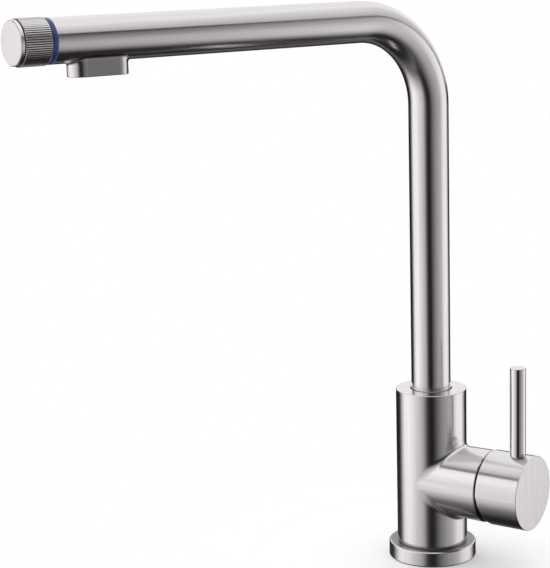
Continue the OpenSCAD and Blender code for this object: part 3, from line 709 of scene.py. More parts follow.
@dataclass
class TapColumn:
    """The column with its side branch, its foot, the dome in the branch and the ring round the spout."""

    radius: float = 22.5 * MM
    top: float = 111.5 * MM
    foot: float = 10 * MM
    edge: float = 0.6 * MM
    # The border of the unrolled column stays this far from both ends, clear of the rounded edges.
    margin: float = 0.7 * MM
    branch_root: float = 22.4 * MM
    branch_radius: float = 23 * MM
    branch_reach: float = 43 * MM
    branch_bore: float = 18 * MM
    # Faces nearer to the branch's end than this lie in the gap behind the cap and get painted shade.
    gap_face: float = 0.1 * MM
    seat: float = 12 * MM
    fillet: float = 3 * MM
    front_fillet: float = 14 * MM
    # The fillet grows towards the front by this power of the sine.
    fillet_power: int = 6
    spout_hole: float = 13.32 * MM
    spout_bore: float = 15 * MM
    top_wall: float = 4 * MM
    core_bore: float = 17.05 * MM
    core_top: float = 72 * MM
    core_foot: float = 18.52 * MM
    core_foot_height: float = 3 * MM
    spigot: float = 20 * MM
    stop_height: float = 76.05 * MM
    stop_hole: float = 1.52 * MM
    flange_radius: float = 28 * MM
    flange_shoulder: float = 1.2 * MM
    flange_edge: float = 1 * MM
    # A face whose normal points up by more than this belongs to the foot's flat ring, which gets painted
    # shade.
    flange_flat: float = 0.99
    seal_groove: tuple[float, float, float] = (22.48 * MM, 25.52 * MM, 2 * MM)
    dome_radius: float = 22.54 * MM
    dome_wall: float = 1.5 * MM
    dome_length: float = 7 * MM
    skirt_start: float = 41.04 * MM
    skirt_radius: float = 17.95 * MM
    glide_gap: float = 0.05 * MM
    glide_lip: float = 1.5 * MM
    glide_lip_gap: float = 0.15 * MM
    glide_drop: float = 0.7 * MM
    glide_edge: float = 0.1 * MM
    # Angles round the branch that belong to the corners of the column's border.
    top_turn: float = math.radians(55)
    foot_turn: float = math.radians(125)
    half_columns: int = 120
    seam_rows: int = 60
    patch_rows: int = 44
    # The rows spread from the fillet to the border by this power of their share.
    row_growth: float = 1.3
    fillet_steps: int = 10
    branch_rows: int = 30
    dome_rows: int = 24

    def build(self) -> None:
        """Builds the column's pieces."""
        column = place_piece(self.tee(), Body.TAP, BRUSHED, "mixer_body")
        # Painted shade on the branch's end face in the gap behind the cap.
        shade_faces(column, SHADE, face_vectors(column, "center")[:, 0] > self.branch_reach - self.gap_face)
        foot = place_piece(self.flange(), Body.TAP, BRUSHED, "base_flange")
        # Painted shade on the foot's flat top ring.
        shade_faces(foot, FLAT_RING_SHADE, face_vectors(foot, "normal")[:, 2] > self.flange_flat)
        place_piece(self.dome(), Body.TAP, POLISHED, "dome_ring")
        place_piece(self.glide_ring(), Body.TAP, DARK, "upper_glide_ring")

    def border(self) -> tuple[Array, Array]:
        """Pairs each angle round the branch with a point on the border of the unrolled column.

        From the branch's top the border runs along the column's top edge to the seam at the back, down
        the seam and along the foot's edge; the other side mirrors it.

        Returns:
            The angles, and rows of turn round the column and height.
        """
        turn = np.linspace(0, 1, self.half_columns + 1)[:, None]
        fall = np.linspace(0, 1, self.seam_rows + 1)[1:, None]
        high, low = self.top - self.margin, self.foot + self.margin
        run = np.concatenate([
            turn * [math.pi, 0] + [0, high],
            fall * [0, low - high] + [math.pi, high],
            turn[1:] * [-math.pi, 0] + [math.pi, low],
        ])
        angle = np.concatenate([
            turn * self.top_turn,
            fall * (self.foot_turn - self.top_turn) + self.top_turn,
            turn[1:] * (math.pi - self.foot_turn) + self.foot_turn,
        ])[:, 0]
        both_angles = np.concatenate([angle, 2 * math.pi - angle[-2::-1]])
        return both_angles, np.concatenate([run, run[-2::-1] * [-1, 1]])

    def tee(self) -> Mesh:
        """Column and branch as one surface with a rolling-ball fillet between them.

        A ball of the fillet's radius touches both when its centre is that radius outside the column and
        outside the branch, whose radius grows by a slope with x. With s the sine of the angle round the
        branch, the fillet grows with a power of s from the branch's top to its front, and the centre's x
        solves x^2 + (root + fillet + slope x)^2 s^2 = (column + fillet)^2. Straight lines on the unrolled
        column run from the ball's touch points to the column's border.

        Returns:
            The mesh, bored for the cartridge and the stop screw.
        """
        angle, border = self.border()
        sine, cosine = np.sin(angle), np.cos(angle)

        def round_branch(along: Array, arm: Array) -> Array:
            """Points at a place along the branch and a distance from its axis."""
            return stacked(along, arm * sine, HANDLE_HEIGHT + arm * cosine)

        end = self.branch_reach - self.edge
        slope = (self.branch_radius - self.branch_root) / end
        ball_radius = self.fillet + (self.front_fillet - self.fillet) * sine ** self.fillet_power
        reach = self.branch_root + ball_radius
        square = 1 + (slope * sine) ** 2
        line = 2 * slope * reach * sine ** 2
        rest = (reach * sine) ** 2 - (self.radius + ball_radius) ** 2
        x = (np.sqrt(line ** 2 - 4 * square * rest) - line) / (2 * square)
        ball_arm = reach + slope * x
        centre = round_branch(x, ball_arm)
        inward = self.radius / (self.radius + ball_radius)
        on_column = centre * stacked(inward, inward, 1.0)
        on_branch = round_branch(x, ball_arm - ball_radius)
        touch = stacked(np.arctan2(centre[:, 1], centre[:, 0]), centre[:, 2])

        share = np.linspace(0, 1, self.patch_rows)[:, None, None] ** self.row_growth
        unrolled = (1 - share) * touch + share * border
        turn, height = unrolled[..., 0], unrolled[..., 1]
        column = Patch(round_points(self.radius, turn, height), stacked(self.radius * turn, height))
        ball = arc_between(centre, on_column - centre, on_branch - centre, self.fillet_steps)
        fillet = Patch(ball, stacked(self.branch_radius * angle, ball[..., 0]))
        along = x + (end - x) * np.linspace(0, 1, self.branch_rows)[:, None]
        swell = self.branch_root + slope * along
        branch = Patch(round_branch(along, swell), stacked(self.branch_radius * angle, along))
        rim = np.array([
            (end, self.branch_radius),
            (self.branch_reach, self.branch_radius - self.edge),
            (self.branch_reach, self.branch_bore / 2),
            (self.branch_reach, 0.0),
        ])
        face = Patch(round_branch(rim[:, :1], rim[:, 1:]), stacked(rim[:, 1:] * sine, rim[:, 1:] * cosine))
        inside = revolved(self.column_profile(), STANDING, 2 * self.half_columns)
        solid = joined_mesh("column", [column, fillet, branch, face, inside])
        stop = Placement((0, 0, self.stop_height), (1, 0, 0), (0, 0, -1), (0, 1, 0))
        return drilled(
            solid,
            rod_tool(self.branch_bore, self.seat, 2 * self.branch_reach, ON_HANDLE, COLUMNS),
            rod_tool(self.stop_hole, self.spout_hole, 2 * self.radius, stop),
        )

    def column_profile(self) -> Array:
        """Runs from the column's top edge through its bores to its foot edge.

        Returns:
            Rows of radius and height.
        """
        return outline(
            Corner(self.radius, self.top - self.margin),
            Corner(self.radius, self.top, self.edge),
            Corner(self.spout_hole, self.top, self.edge / 2),
            Corner(self.spout_hole, self.top - self.top_wall),
            Corner(self.spout_bore, self.top - self.top_wall),
            Corner(self.spout_bore, self.core_top),
            Corner(self.core_bore, self.core_top),
            Corner(self.core_bore, self.core_foot_height),
            Corner(self.core_foot, self.core_foot_height),
            Corner(self.core_foot, 0),
            Corner(self.spigot, 0),
            Corner(self.spigot, self.foot),
            Corner(self.radius, self.foot, self.edge),
            Corner(self.radius, self.foot + self.margin),
        )

    def flange(self) -> Mesh:
        """Low round foot with a rounded shoulder and the groove of its seal.

        Returns:
            The mesh.
        """
        hole, top = self.spigot + FIT_GAP, self.foot - FIT_GAP
        groove_in, groove_out, depth = self.seal_groove
        return lathed(
            "foot_flange", STANDING,
            Corner(hole, 0),
            Corner(groove_in, 0),
            Corner(groove_in, depth),
            Corner(groove_out, depth),
            Corner(groove_out, 0),
            Corner(self.flange_radius, 0, self.flange_edge),
            Corner(self.flange_radius, top, self.flange_shoulder),
            Corner(hole, top),
            Corner(hole, 0),
        )

    def dome(self) -> Mesh:
        """Polished dome in the branch: two arcs about the lever's pivot, with a skirt in the bore.

        A point of an arc at x has the distance from the axis sqrt(R^2 - (x - pivot)^2).

        Returns:
            The mesh.
        """
        start = self.branch_reach + FIT_GAP
        end, back = start + self.dome_length, self.branch_reach + self.dome_wall
        arcs = [
            stacked(np.sqrt(radius ** 2 - (x - LEVER_PIVOT) ** 2), x)
            for radius, x in (
                (self.dome_radius, np.linspace(start, end, self.dome_rows)),
                (self.dome_radius - self.dome_wall, np.linspace(end, back, self.dome_rows)),
            )
        ]
        skirt = np.array([
            (self.skirt_radius - self.dome_wall, back),
            (self.skirt_radius - self.dome_wall, self.skirt_start),
            (self.skirt_radius, self.skirt_start),
            (self.skirt_radius, start),
        ])
        return joined_mesh("branch_dome", [revolved(np.concatenate([*arcs, skirt, arcs[0][:1]]), ON_HANDLE)])

    def glide_ring(self) -> Mesh:
        """Dark ring that guides the spout in the column's top, with a lip under the top wall.

        Returns:
            The mesh.
        """
        inner, outer = TUBE_RADIUS + self.glide_gap, self.spout_hole - FIT_GAP
        shelf, rim = self.top - self.top_wall, self.top - self.glide_drop
        lip = self.spout_bore - self.glide_lip_gap
        return lathed(
            "glide_ring", STANDING,
            Corner(inner, shelf - self.glide_lip),
            Corner(lip, shelf - self.glide_lip),
            Corner(lip, shelf - FIT_GAP),
            Corner(outer, shelf - FIT_GAP),
            Corner(outer, rim, self.glide_edge),
            Corner(inner, rim, self.glide_edge),
            Corner(inner, shelf - self.glide_lip),
        )


@dataclass
class SideHandle:
    """The round cap on the lever's stem and its slim rod."""

    start: float = 44.1 * MM
    radius: float = 23.5 * MM
    length: float = 28.4 * MM
    face_round: float = 0.4 * MM
    rim_round: float = 0.4 * MM
    # The rim in the gap that gets painted shade is this wide, and its normals point further back than this.
    rim_width: float = 3 * MM
    rim_facing: float = -0.75
    hollow: float = 23.04 * MM
    rod_x: float = 62 * MM
    rod_radius: float = 5 * MM
    rod_foot: float = 58.5 * MM
    rod_top: float = 132 * MM
    rod_edge: float = 0.4 * MM
    grub_hole: float = 2.02 * MM
    grub_depth: float = 4 * MM
    barrel_rows: int = 12
    hollow_rows: int = 28

    def build(self) -> None:
        """Builds the handle's pieces."""
        cap = place_piece(self.cap(), Body.LEVER, BRUSHED, "handle_cap")
        from_axis = face_vectors(cap, "center")[:, 1:] - [0, HANDLE_HEIGHT]
        wide = np.hypot(*from_axis.T) > self.radius - self.rim_width
        # Painted shade on the cap's rim that faces back into the gap.
        shade_faces(cap, SHADE, wide & (face_vectors(cap, "normal")[:, 0] < self.rim_facing))
        place_piece(self.rod(), Body.LEVER, POLISHED, "lever_rod")

    def cap(self) -> Mesh:
        """Cap whose lower rim is cut back by the lever's tilt, hollow about the pivot.

        At an angle whose cosine c is from the top, the rim at radius r lies at x = start + r m, with
        m = max(0, -c) tan(tilt). It meets the hollow's sphere of radius R about the pivot where
        (start - pivot + r m)^2 + r^2 = R^2.

        Returns:
            The mesh, with the hole of the screw below.
        """
        angle = full_turn(COLUMNS)
        slope = np.maximum(0, -np.cos(angle)) * math.tan(LEVER_TILT)
        offset = self.start - LEVER_PIVOT
        square, line, rest = 1 + slope ** 2, slope * offset, offset ** 2 - self.hollow ** 2
        meet = (np.sqrt(line ** 2 - square * rest) - line) / square
        face_x, face_radius = self.start + self.length, self.radius - 2 * self.face_round

        front = outline(
            Corner(face_radius, face_x),
            Corner(self.radius, face_x, self.face_round),
            Corner(self.radius, face_x - 2 * self.face_round),
        )
        front = np.broadcast_to(front[:, None], (len(front), len(angle), 2))
        rim = stacked(self.radius, self.start + self.radius * slope)
        inner_rim = stacked(meet, self.start + meet * slope)
        rim_arc = corner_arc(front[-1], rim, inner_rim, self.rim_round)
        share = np.linspace(0, 1, self.barrel_rows)[1:-1, None, None]
        barrel = front[-1] * (1 - share) + rim_arc[0] * share
        opening = np.arctan2(meet, inner_rim[:, 1] - LEVER_PIVOT)
        lean = opening * np.linspace(1, 0, self.hollow_rows)[:, None]
        hollow = stacked(self.hollow * np.sin(lean), LEVER_PIVOT + self.hollow * np.cos(lean))
        rows = np.concatenate([front, barrel, rim_arc, hollow])
        radius, x = rows[..., 0], rows[..., 1]
        shell = Patch(ON_HANDLE.put(round_points(radius, angle, x)), stacked(self.radius * angle, x))
        solid = joined_mesh("handle_cap_shell", [flat_disc(face_radius, face_x, ON_HANDLE), shell])
        below = Placement((self.rod_x, 0, HANDLE_HEIGHT), (1, 0, 0), (0, -1, 0), (0, 0, -1))
        return drilled(solid, rod_tool(self.grub_hole, self.grub_depth, 2 * self.radius, below))

    def rod(self) -> Mesh:
        """Slim upright rod with a flat top.

        Returns:
            The mesh.
        """
        return lathed(
            "lever_rod_bar", Placement((self.rod_x, 0, 0), (1, 0, 0), (0, 1, 0), (0, 0, 1)),
            Corner(0, self.rod_foot),
            Corner(self.rod_radius, self.rod_foot, self.rod_edge),
            Corner(self.rod_radius, self.rod_top, self.rod_edge),
            Corner(self.rod_radius - 2 * self.rod_edge, self.rod_top),
            capped=True,
        )


@dataclass
class Spout:
    """The bent tube, the outlet housing below it and its two outlets."""

    wall: float = 1.5 * MM
    foot: float = 81.57 * MM
    bend: float = 53.5 * MM
    reach: float = 261.5 * MM
    # The last stretch of the tube, which holds its rounded end.
    mouth: float = 1 * MM
    end_round: float = 0.35 * MM
    housing_at: float = 232 * MM
    housing_length: float = 35.5 * MM
    housing_width: float = 16 * MM
    housing_corner: float = 7.5 * MM
    housing_drop: float = 7.5 * MM
    housing_edge: float = 0.5 * MM
    housing_fillet: float = 1.8 * MM
    housing_side_fillet: float = 1.2 * MM
    aerator_at: float = 222.25 * MM
    aerator_radius: float = 6.2 * MM
    aerator_lip: float = 1 * MM
    aerator_inner_edge: float = 0.15 * MM
    aerator_outer_edge: float = 0.25 * MM
    aerator_seal: float = 1 * MM
    nozzle_at: float = 242.75 * MM
    nozzle_radius: float = 4 * MM
    nozzle_way: float = 2.2 * MM
    nozzle_edge: float = 0.3 * MM
    recess: float = 0.3 * MM
    insert_length: float = 5.5 * MM
    rise_rows: int = 24
    bend_rows: int = 48
    reach_rows: int = 30
    corner_rows: int = 17
    side_rows: int = 10
    floor_rows: int = 5
    edge_rows: int = 7
    wall_rows: int = 6
    flare_rows: int = 9
    cover_rows: int = 8
    aerator_columns: int = 128
    hole_columns: int = 96

    @property
    def housing_bottom(self) -> float:
        """Height of the outlet housing's lower face."""
        return SPOUT_HEIGHT - TUBE_RADIUS - self.housing_drop

    def build(self) -> None:
        """Builds the spout's pieces."""
        place_piece(self.tube(), Body.SPOUT, BRUSHED, "spout_tube")
        # The housing's finish paints shade on its flanks.
        place_piece(self.housing(), Body.SPOUT, self.housing_shaded_finish(), "outlet_housing")
        place_piece(self.aerator(), Body.SPOUT, POLISHED, "aerator_housing")
        place_piece(self.nozzle(), Body.SPOUT, DARK, "filter_nozzle")

    def standing_at(self, along: float, height: float) -> Placement:
        """Upright axes at a distance from the column and a height, with the local x along the spout."""
        return Placement(along * SPOUT_WAY + height * UP, SPOUT_WAY, np.cross(UP, SPOUT_WAY), UP)

    def tube(self) -> Mesh:
        """Bent tube: a circle carried up, round the bend and along to the open end, and back inside.

        At run s the bend has turned by k = clip((s - rise) / bend, 0, 90 degrees). The middle line is
        min(s, rise) + bend sin k up and bend (1 - cos k) + max(s - rise - bend pi / 2, 0) out, and the
        section's own axes are the spout's side and -out cos k + up sin k.

        Returns:
            The mesh.
        """
        rise = SPOUT_HEIGHT - self.bend - self.foot
        bent = rise + self.bend * QUARTER
        total = bent + self.reach - self.bend
        bore = TUBE_RADIUS - self.wall
        middle = np.concatenate([
            np.linspace(0, rise, self.rise_rows),
            np.linspace(rise, bent, self.bend_rows)[1:],
            np.linspace(bent, total - self.mouth, self.reach_rows)[1:],
        ])
        mouth = outline(
            Corner(TUBE_RADIUS, total - self.mouth),
            Corner(TUBE_RADIUS, total, self.end_round),
            Corner(bore, total, self.end_round),
            Corner(bore, total - self.mouth),
        )[1:-1]
        rows = np.concatenate([
            stacked(TUBE_RADIUS, middle),
            mouth,
            stacked(bore, middle)[::-1],
            [(TUBE_RADIUS, 0.0)],
        ])
        radius, run = rows[:, :1, None], rows[:, 1:]
        turn = np.clip((run - rise) / self.bend, 0, QUARTER)
        up = self.foot + np.minimum(run, rise) + self.bend * np.sin(turn)
        out = self.bend * (1 - np.cos(turn)) + np.maximum(run - bent, 0)
        line = out * SPOUT_WAY + up * UP
        outward = np.sin(turn) * UP - np.cos(turn) * SPOUT_WAY
        angle = full_turn(COLUMNS)
        ring = np.cos(angle)[:, None] * outward[:, None] + np.sin(angle)[:, None] * SPOUT_SIDE
        lengths = stacked(TUBE_RADIUS * angle, run)
        return joined_mesh("bent_tube", [Patch(line[:, None] + radius * ring, lengths)])

    def housing(self) -> Mesh:
        """Oblong outlet housing: a rounded rectangle carried up to the tube's underside.

        A point of the outline is a corner's centre plus the corner radius times the outline's normal, so
        an inset outline has a smaller radius. The upper edge lies on the tube, at its axis less
        sqrt(R^2 - y^2) for the distance y from the spout's middle plane, and a quarter round flares into
        it: at turn t the outline is fillet (1 - cos t) wider and fillet (1 - sin t) below the tube. The
        fillet changes from the ends to the sides with the square of the normal's y.

        Returns:
            The mesh, drilled for both outlets.
        """
        centres, normals = self.housing_outline()
        saddle = TUBE_RADIUS + FIT_GAP
        tube_axis = TUBE_RADIUS + self.housing_drop

        def level(spots: Array, height: Array | float) -> Array:
            """Spots of an outline at a height above the lower face."""
            return stacked(spots[..., 0], spots[..., 1], height)

        def on_tube(spots: Array) -> Array:
            """Spots of an outline on the tube's underside."""
            return level(spots, tube_axis - np.sqrt(saddle ** 2 - spots[..., 1] ** 2))

        full = centres + self.housing_corner * normals
        flat = centres + (self.housing_corner - self.housing_edge - EDGE_GUARD) * normals
        edge_turn = np.linspace(0, QUARTER, self.edge_rows)[:, None]
        inset = self.housing_edge * (1 - np.sin(edge_turn))
        edge = centres + (self.housing_corner - inset[..., None]) * normals
        flare_turn = np.linspace(0, QUARTER, self.flare_rows)[:, None, None]
        fillet = self.housing_fillet + (self.housing_side_fillet - self.housing_fillet) * normals[:, 1:] ** 2
        flared = full + fillet * (1 - np.cos(flare_turn)) * normals
        flare = on_tube(flared) - fillet * (1 - np.sin(flare_turn)) * UP
        wall_foot = level(full, self.housing_edge + EDGE_GUARD)
        points = np.concatenate([
            level(np.linspace(0, 1, self.floor_rows)[:, None, None] * flat, 0.0),
            level(edge, self.housing_edge * (1 - np.cos(edge_turn))),
            wall_foot + (flare[0] - wall_foot) * np.linspace(0, 1, self.wall_rows)[:-1, None, None],
            flare,
            on_tube(flared[-1] * np.linspace(1, 0, self.cover_rows)[1:, None, None]),
        ])
        lengths = stacked(run_lengths(full), points[..., 2])
        place = self.standing_at(self.housing_at, self.housing_bottom)
        solid = joined_mesh("outlet_housing_shell", [Patch(place.put(points), lengths)])
        holes = [
            rod_tool(radius + FIT_GAP, -self.insert_length, depth,
                     self.standing_at(along, self.housing_bottom), self.hole_columns)
            for radius, depth, along in (
                (self.aerator_radius, self.insert_length + self.aerator_seal, self.aerator_at),
                (self.nozzle_radius, self.insert_length, self.nozzle_at),
            )
        ]
        return drilled(solid, *holes)

    def housing_outline(self) -> tuple[Array, Array]:
        """Runs round the housing's four corners and the sides between them.

        Returns:
            The corners' centres and the outline's normals, as closed rows of x and y.
        """
        half = np.array([self.housing_length, self.housing_width]) / 2 - self.housing_corner
        signs = np.array([(1, 1), (-1, 1), (-1, -1), (1, -1), (1, 1)])
        quarter = np.linspace(0, QUARTER, self.corner_rows)
        side = np.linspace(0, 1, self.side_rows)[1:-1, None]
        centres, normals = [], []
        for corner, (here, after) in enumerate(zip(signs[:-1] * half, signs[1:] * half)):
            angle = quarter + corner * QUARTER
            facing = np.stack([np.cos(angle), np.sin(angle)], -1)
            centres += [np.broadcast_to(here, facing.shape), here + (after - here) * side]
            normals += [facing, np.broadcast_to(facing[-1], (len(side), 2))]
        return np.concatenate(centres + [centres[0][:1]]), np.concatenate(normals + [normals[0][:1]])

    def housing_shaded_finish(self) -> FlankShadeFinish:
        """Brushed steel with painted flank shade, the first flank a quarter round and half a side from the
        outline's start.

        Returns:
            The finish.
        """
        quarter = QUARTER * self.housing_corner
        side = self.housing_length - 2 * self.housing_corner
        end = self.housing_width - 2 * self.housing_corner
        return FlankShadeFinish(
            "housing_flank_shade_steel", Slot.BRUSHED, BRUSHED.dull, BRUSHED.bright, BRUSHED.smooth, BRUSHED.rough,
            outline_run=4 * quarter + 2 * (side + end),
            flank_at=quarter + side / 2,
        )

    def aerator(self) -> Mesh:
        """Ring that holds the aerator's screen on a step.

        Returns:
            The mesh.
        """
        length, step = self.insert_length - self.recess, self.insert_length / 2
        rest, way = self.aerator_radius - 2 * self.aerator_lip, self.aerator_radius - self.aerator_lip
        return lathed(
            "aerator_ring", self.standing_at(self.aerator_at, self.housing_bottom + self.recess),
            Corner(rest, length),
            Corner(rest, step),
            Corner(way, step),
            Corner(way, 0, self.aerator_inner_edge),
            Corner(self.aerator_radius, 0, self.aerator_outer_edge),
            Corner(self.aerator_radius, length),
            Corner(rest, length),
            columns=self.aerator_columns,
        )

    def nozzle(self) -> Mesh:
        """Plain nozzle of the filtered water.

        Returns:
            The mesh.
        """
        length = self.insert_length - self.recess - FIT_GAP
        return lathed(
            "filter_nozzle_ring", self.standing_at(self.nozzle_at, self.housing_bottom + self.recess),
            Corner(self.nozzle_way, length),
            Corner(self.nozzle_way, 0, self.nozzle_edge),
            Corner(self.nozzle_radius, 0, self.nozzle_edge),
            Corner(self.nozzle_radius, length),
            Corner(self.nozzle_way, length),
            columns=self.hole_columns,
        )


@dataclass
class FilterKnob:
    """The ridged knob in the spout's end, its smooth disc and the blue ring behind it."""

    ring_start: float = 261.52 * MM
    ring_length: float = 2.4 * MM
    ring_bore: float = 8 * MM
    ring_edge: float = 0.25 * MM
    start: float = 264.22 * MM
    length: float = 16.1 * MM
    radius: float = 12.89 * MM
    ridges: int = 64
    ridge_height: float = 0.6 * MM
    # The share of a ridge is its level plus its steepness times the cosine, clipped to 0 and 1.
    ridge_level: float = 0.95
    ridge_steepness: float = 1.3
    # Faces deeper than this share of the ridge's height are the grooves, which get painted shade.
    groove_share: float = 0.7
    bevel: float = 0.85 * MM
    hollow: float = 10 * MM
    web_start: float = 5.58 * MM
    web_end: float = 9.58 * MM
    spindle_hole: float = 3.02 * MM
    recess: float = 10.6 * MM
    disc_radius: float = 12.25 * MM
    disc_length: float = 2.68 * MM
    disc_edge: float = 0.5 * MM
    disc_round: float = 0.15 * MM
    ridge_columns: int = 12
    bevel_rows: int = 7
    # Rows next to the bevel, counted in bevels from the knob's end.
    guard_rows: tuple[float, float] = (1.2, 2.0)

    def build(self) -> None:
        """Builds the knob's pieces."""
        place_piece(self.ring(), Body.SPOUT, BLUE, "blue_ring")
        grip = place_piece(self.grip(), Body.KNOB, BRUSHED, "filter_knob")
        from_axis = face_vectors(grip, "center") - ON_SPOUT.origin
        reach = np.linalg.norm(from_axis - (from_axis @ SPOUT_WAY)[:, None] * SPOUT_WAY, axis=-1)
        outer = np.sum(face_vectors(grip, "normal") * from_axis, -1) > 0
        deep = reach < self.radius - self.groove_share * self.ridge_height
        # Painted shade on the deep faces of the grooves.
        shade_faces(grip, GROOVE_SHADE, outer & deep & (reach > self.recess))
        place_piece(self.end_disc(), Body.KNOB, TURNED, "knob_end_cap")

    def ring(self) -> Mesh:
        """Blue ring between the tube and the knob.

        Returns:
            The mesh.
        """
        return lathed(
            "blue_marker_ring", ON_SPOUT.moved(self.ring_start),
            Corner(self.ring_bore, 0),
            Corner(TUBE_RADIUS, 0, self.ring_edge),
            Corner(TUBE_RADIUS, self.ring_length, self.ring_edge),
            Corner(self.ring_bore, self.ring_length),
            Corner(self.ring_bore, 0),
        )

    def grip(self) -> Mesh:
        """Ridged grip: at each place the lower of the ridge's radius and the bevelled bar's.

        The ridge's share is a cosine with as many waves as ridges, steepened and clipped to flat crests
        and grooves. The bar's radius falls by the bevel towards both ends.

        Returns:
            The mesh.
        """
        angle = full_turn(self.ridges * self.ridge_columns)
        crest = np.clip(self.ridge_level + self.ridge_steepness * np.cos(self.ridges * angle), 0, 1)
        ridge = self.radius - self.ridge_height * (1 - crest)
        near = self.bevel * np.append(np.linspace(0, 1, self.bevel_rows), self.guard_rows)
        height = np.concatenate([near, [self.length / 2], self.length - near[::-1]])
        edge = np.minimum(height, self.length - height)
        bar = self.radius + self.ridge_height / 2 - np.maximum(0, self.bevel - edge)
        outside = np.minimum(ridge, bar[:, None])
        inside = np.array([
            (self.recess, self.length),
            (self.recess, self.web_end),
            (self.spindle_hole, self.web_end),
            (self.spindle_hole, self.web_start),
            (self.hollow, self.web_start),
            (self.hollow, 0.0),
        ])
        bores = np.broadcast_to(inside[:, :1], (len(inside), len(angle)))
        radius = np.concatenate([outside, bores, outside[:1]])
        rise = np.concatenate([height, inside[:, 1], height[:1]])[:, None]
        points = ON_SPOUT.moved(self.start).put(round_points(radius, angle, rise))
        return joined_mesh("ridged_grip", [Patch(points, stacked(self.radius * angle, rise))])

    def end_disc(self) -> Mesh:
        """Smooth disc that closes the knob, with its plug in the grip's recess.

        Returns:
            The mesh.
        """
        plug, plug_radius = self.web_end - self.length, self.recess - FIT_GAP
        inner = self.disc_radius - self.disc_edge
        return lathed(
            "knob_disc", ON_SPOUT.moved(self.start + self.length + FIT_GAP),
            Corner(0, plug),
            Corner(plug_radius, plug),
            Corner(plug_radius, 0),
            Corner(inner, 0),
            Corner(self.disc_radius, self.disc_edge, self.disc_round),
            Corner(self.disc_radius, self.disc_length - self.disc_edge, self.disc_round),
            Corner(inner, self.disc_length, self.disc_round),
            Corner(inner - self.disc_edge, self.disc_length),
            capped=True,
        )


@dataclass
class InnerWorks:
    """The pieces inside the tap, which keep their CAD shapes and get their finishes."""

    finishes: dict[Finish, tuple[str, ...]] = field(default_factory=lambda: {
        BRASS: ("inlet_core", "cartridge_nut", "lever_stem", "swivel_sleeve", "spout_manifold",
                "filter_valve_body", "filter_spindle"),
        RUBBER: ("base_seal", "core_seals", "cartridge_base_seals", "swivel_seals", "filter_coupler_seal",
                 "manifold_seals", "aerator_seal", "spindle_seal"),
        WHITE: ("cartridge_housing", "thrust_washer", "filter_coupler", "filter_tube"),
        DARK: ("rotor_sleeve", "disc_carrier", "aerator_screen"),
        CERAMIC: ("cartridge_fixed_disc", "cartridge_moving_disc", "filter_fixed_disc",
                  "filter_turning_disc"),
        SCREW: ("spout_stop_screw", "handle_grub_screw", "knob_screw", "pivot_pin", "filter_riser"),
    })

    def build(self) -> None:
        """Gives each inner CAD node its finish."""
        for finish, nodes in self.finishes.items():
            for name in nodes:
                node = frame["nodes"][name]
                node.data.materials.clear()
                node.data.materials.append(material_of(finish))
                LOG.info("%s: CAD shape in %s", name, finish.name)


@dataclass(frozen=True)
class PhotoCamera:
    """The photograph's camera, as turns about the object and a picture size in pixels."""

    azimuth: float = math.radians(35.352)
    elevation: float = math.radians(11.29)
    roll: float = math.radians(-1.568)
    distance: float = 1089.656 * MM
    focal: float = 1721.248
    picture_height: float = 568.0
    sensor: float = 36.0
    target_right: float = -98.173 * MM
    target_up: float = 181.829 * MM

    def axes(self) -> tuple[Array, Array, Array]:
        """Unit vectors to the camera's right, up and back, before the roll.

        Returns:
            The three vectors.
        """
        back = np.array([
            math.sin(self.azimuth) * math.cos(self.elevation),
            -math.cos(self.azimuth) * math.cos(self.elevation),
            math.sin(self.elevation),
        ])
        right = np.array([math.cos(self.azimuth), math.sin(self.azimuth), 0.0])
        return right, np.cross(back, right), back

    def build(self) -> None:
        """Makes the camera and sets it as the scene's."""
        right, up, back = self.axes()
        place = right * self.target_right + UP * self.target_up + back * self.distance
        rolled_right = right * math.cos(self.roll) + up * math.sin(self.roll)
        rolled_up = up * math.cos(self.roll) - right * math.sin(self.roll)
        data = bpy.data.cameras.new("photo_camera")
        data.sensor_fit = "VERTICAL"
        data.sensor_height = self.sensor
        data.sensor_width = self.sensor
        data.lens = self.focal * self.sensor / self.picture_height
        camera = bpy.data.objects.new("photo_camera", data)
        matrix = np.eye(4)
        matrix[:3] = np.stack([rolled_right, rolled_up, back, place], -1)
        camera.matrix_world = Matrix(matrix.tolist())
        bpy.context.scene.collection.objects.link(camera)
        bpy.context.scene.camera = camera


# Turns from the camera in degrees, one column each, and their shares of the full turn.
SCREEN_TURNS = np.linspace(-180, 180, 361)
SCREEN_SHARES = (SCREEN_TURNS + 180) / 360
# Kinds of rays that don't see a piece of the stage that is there only for the steel to mirror.
ALL_BUT_MIRRORED = ("camera", "diffuse", "shadow", "transmission", "volume_scatter")


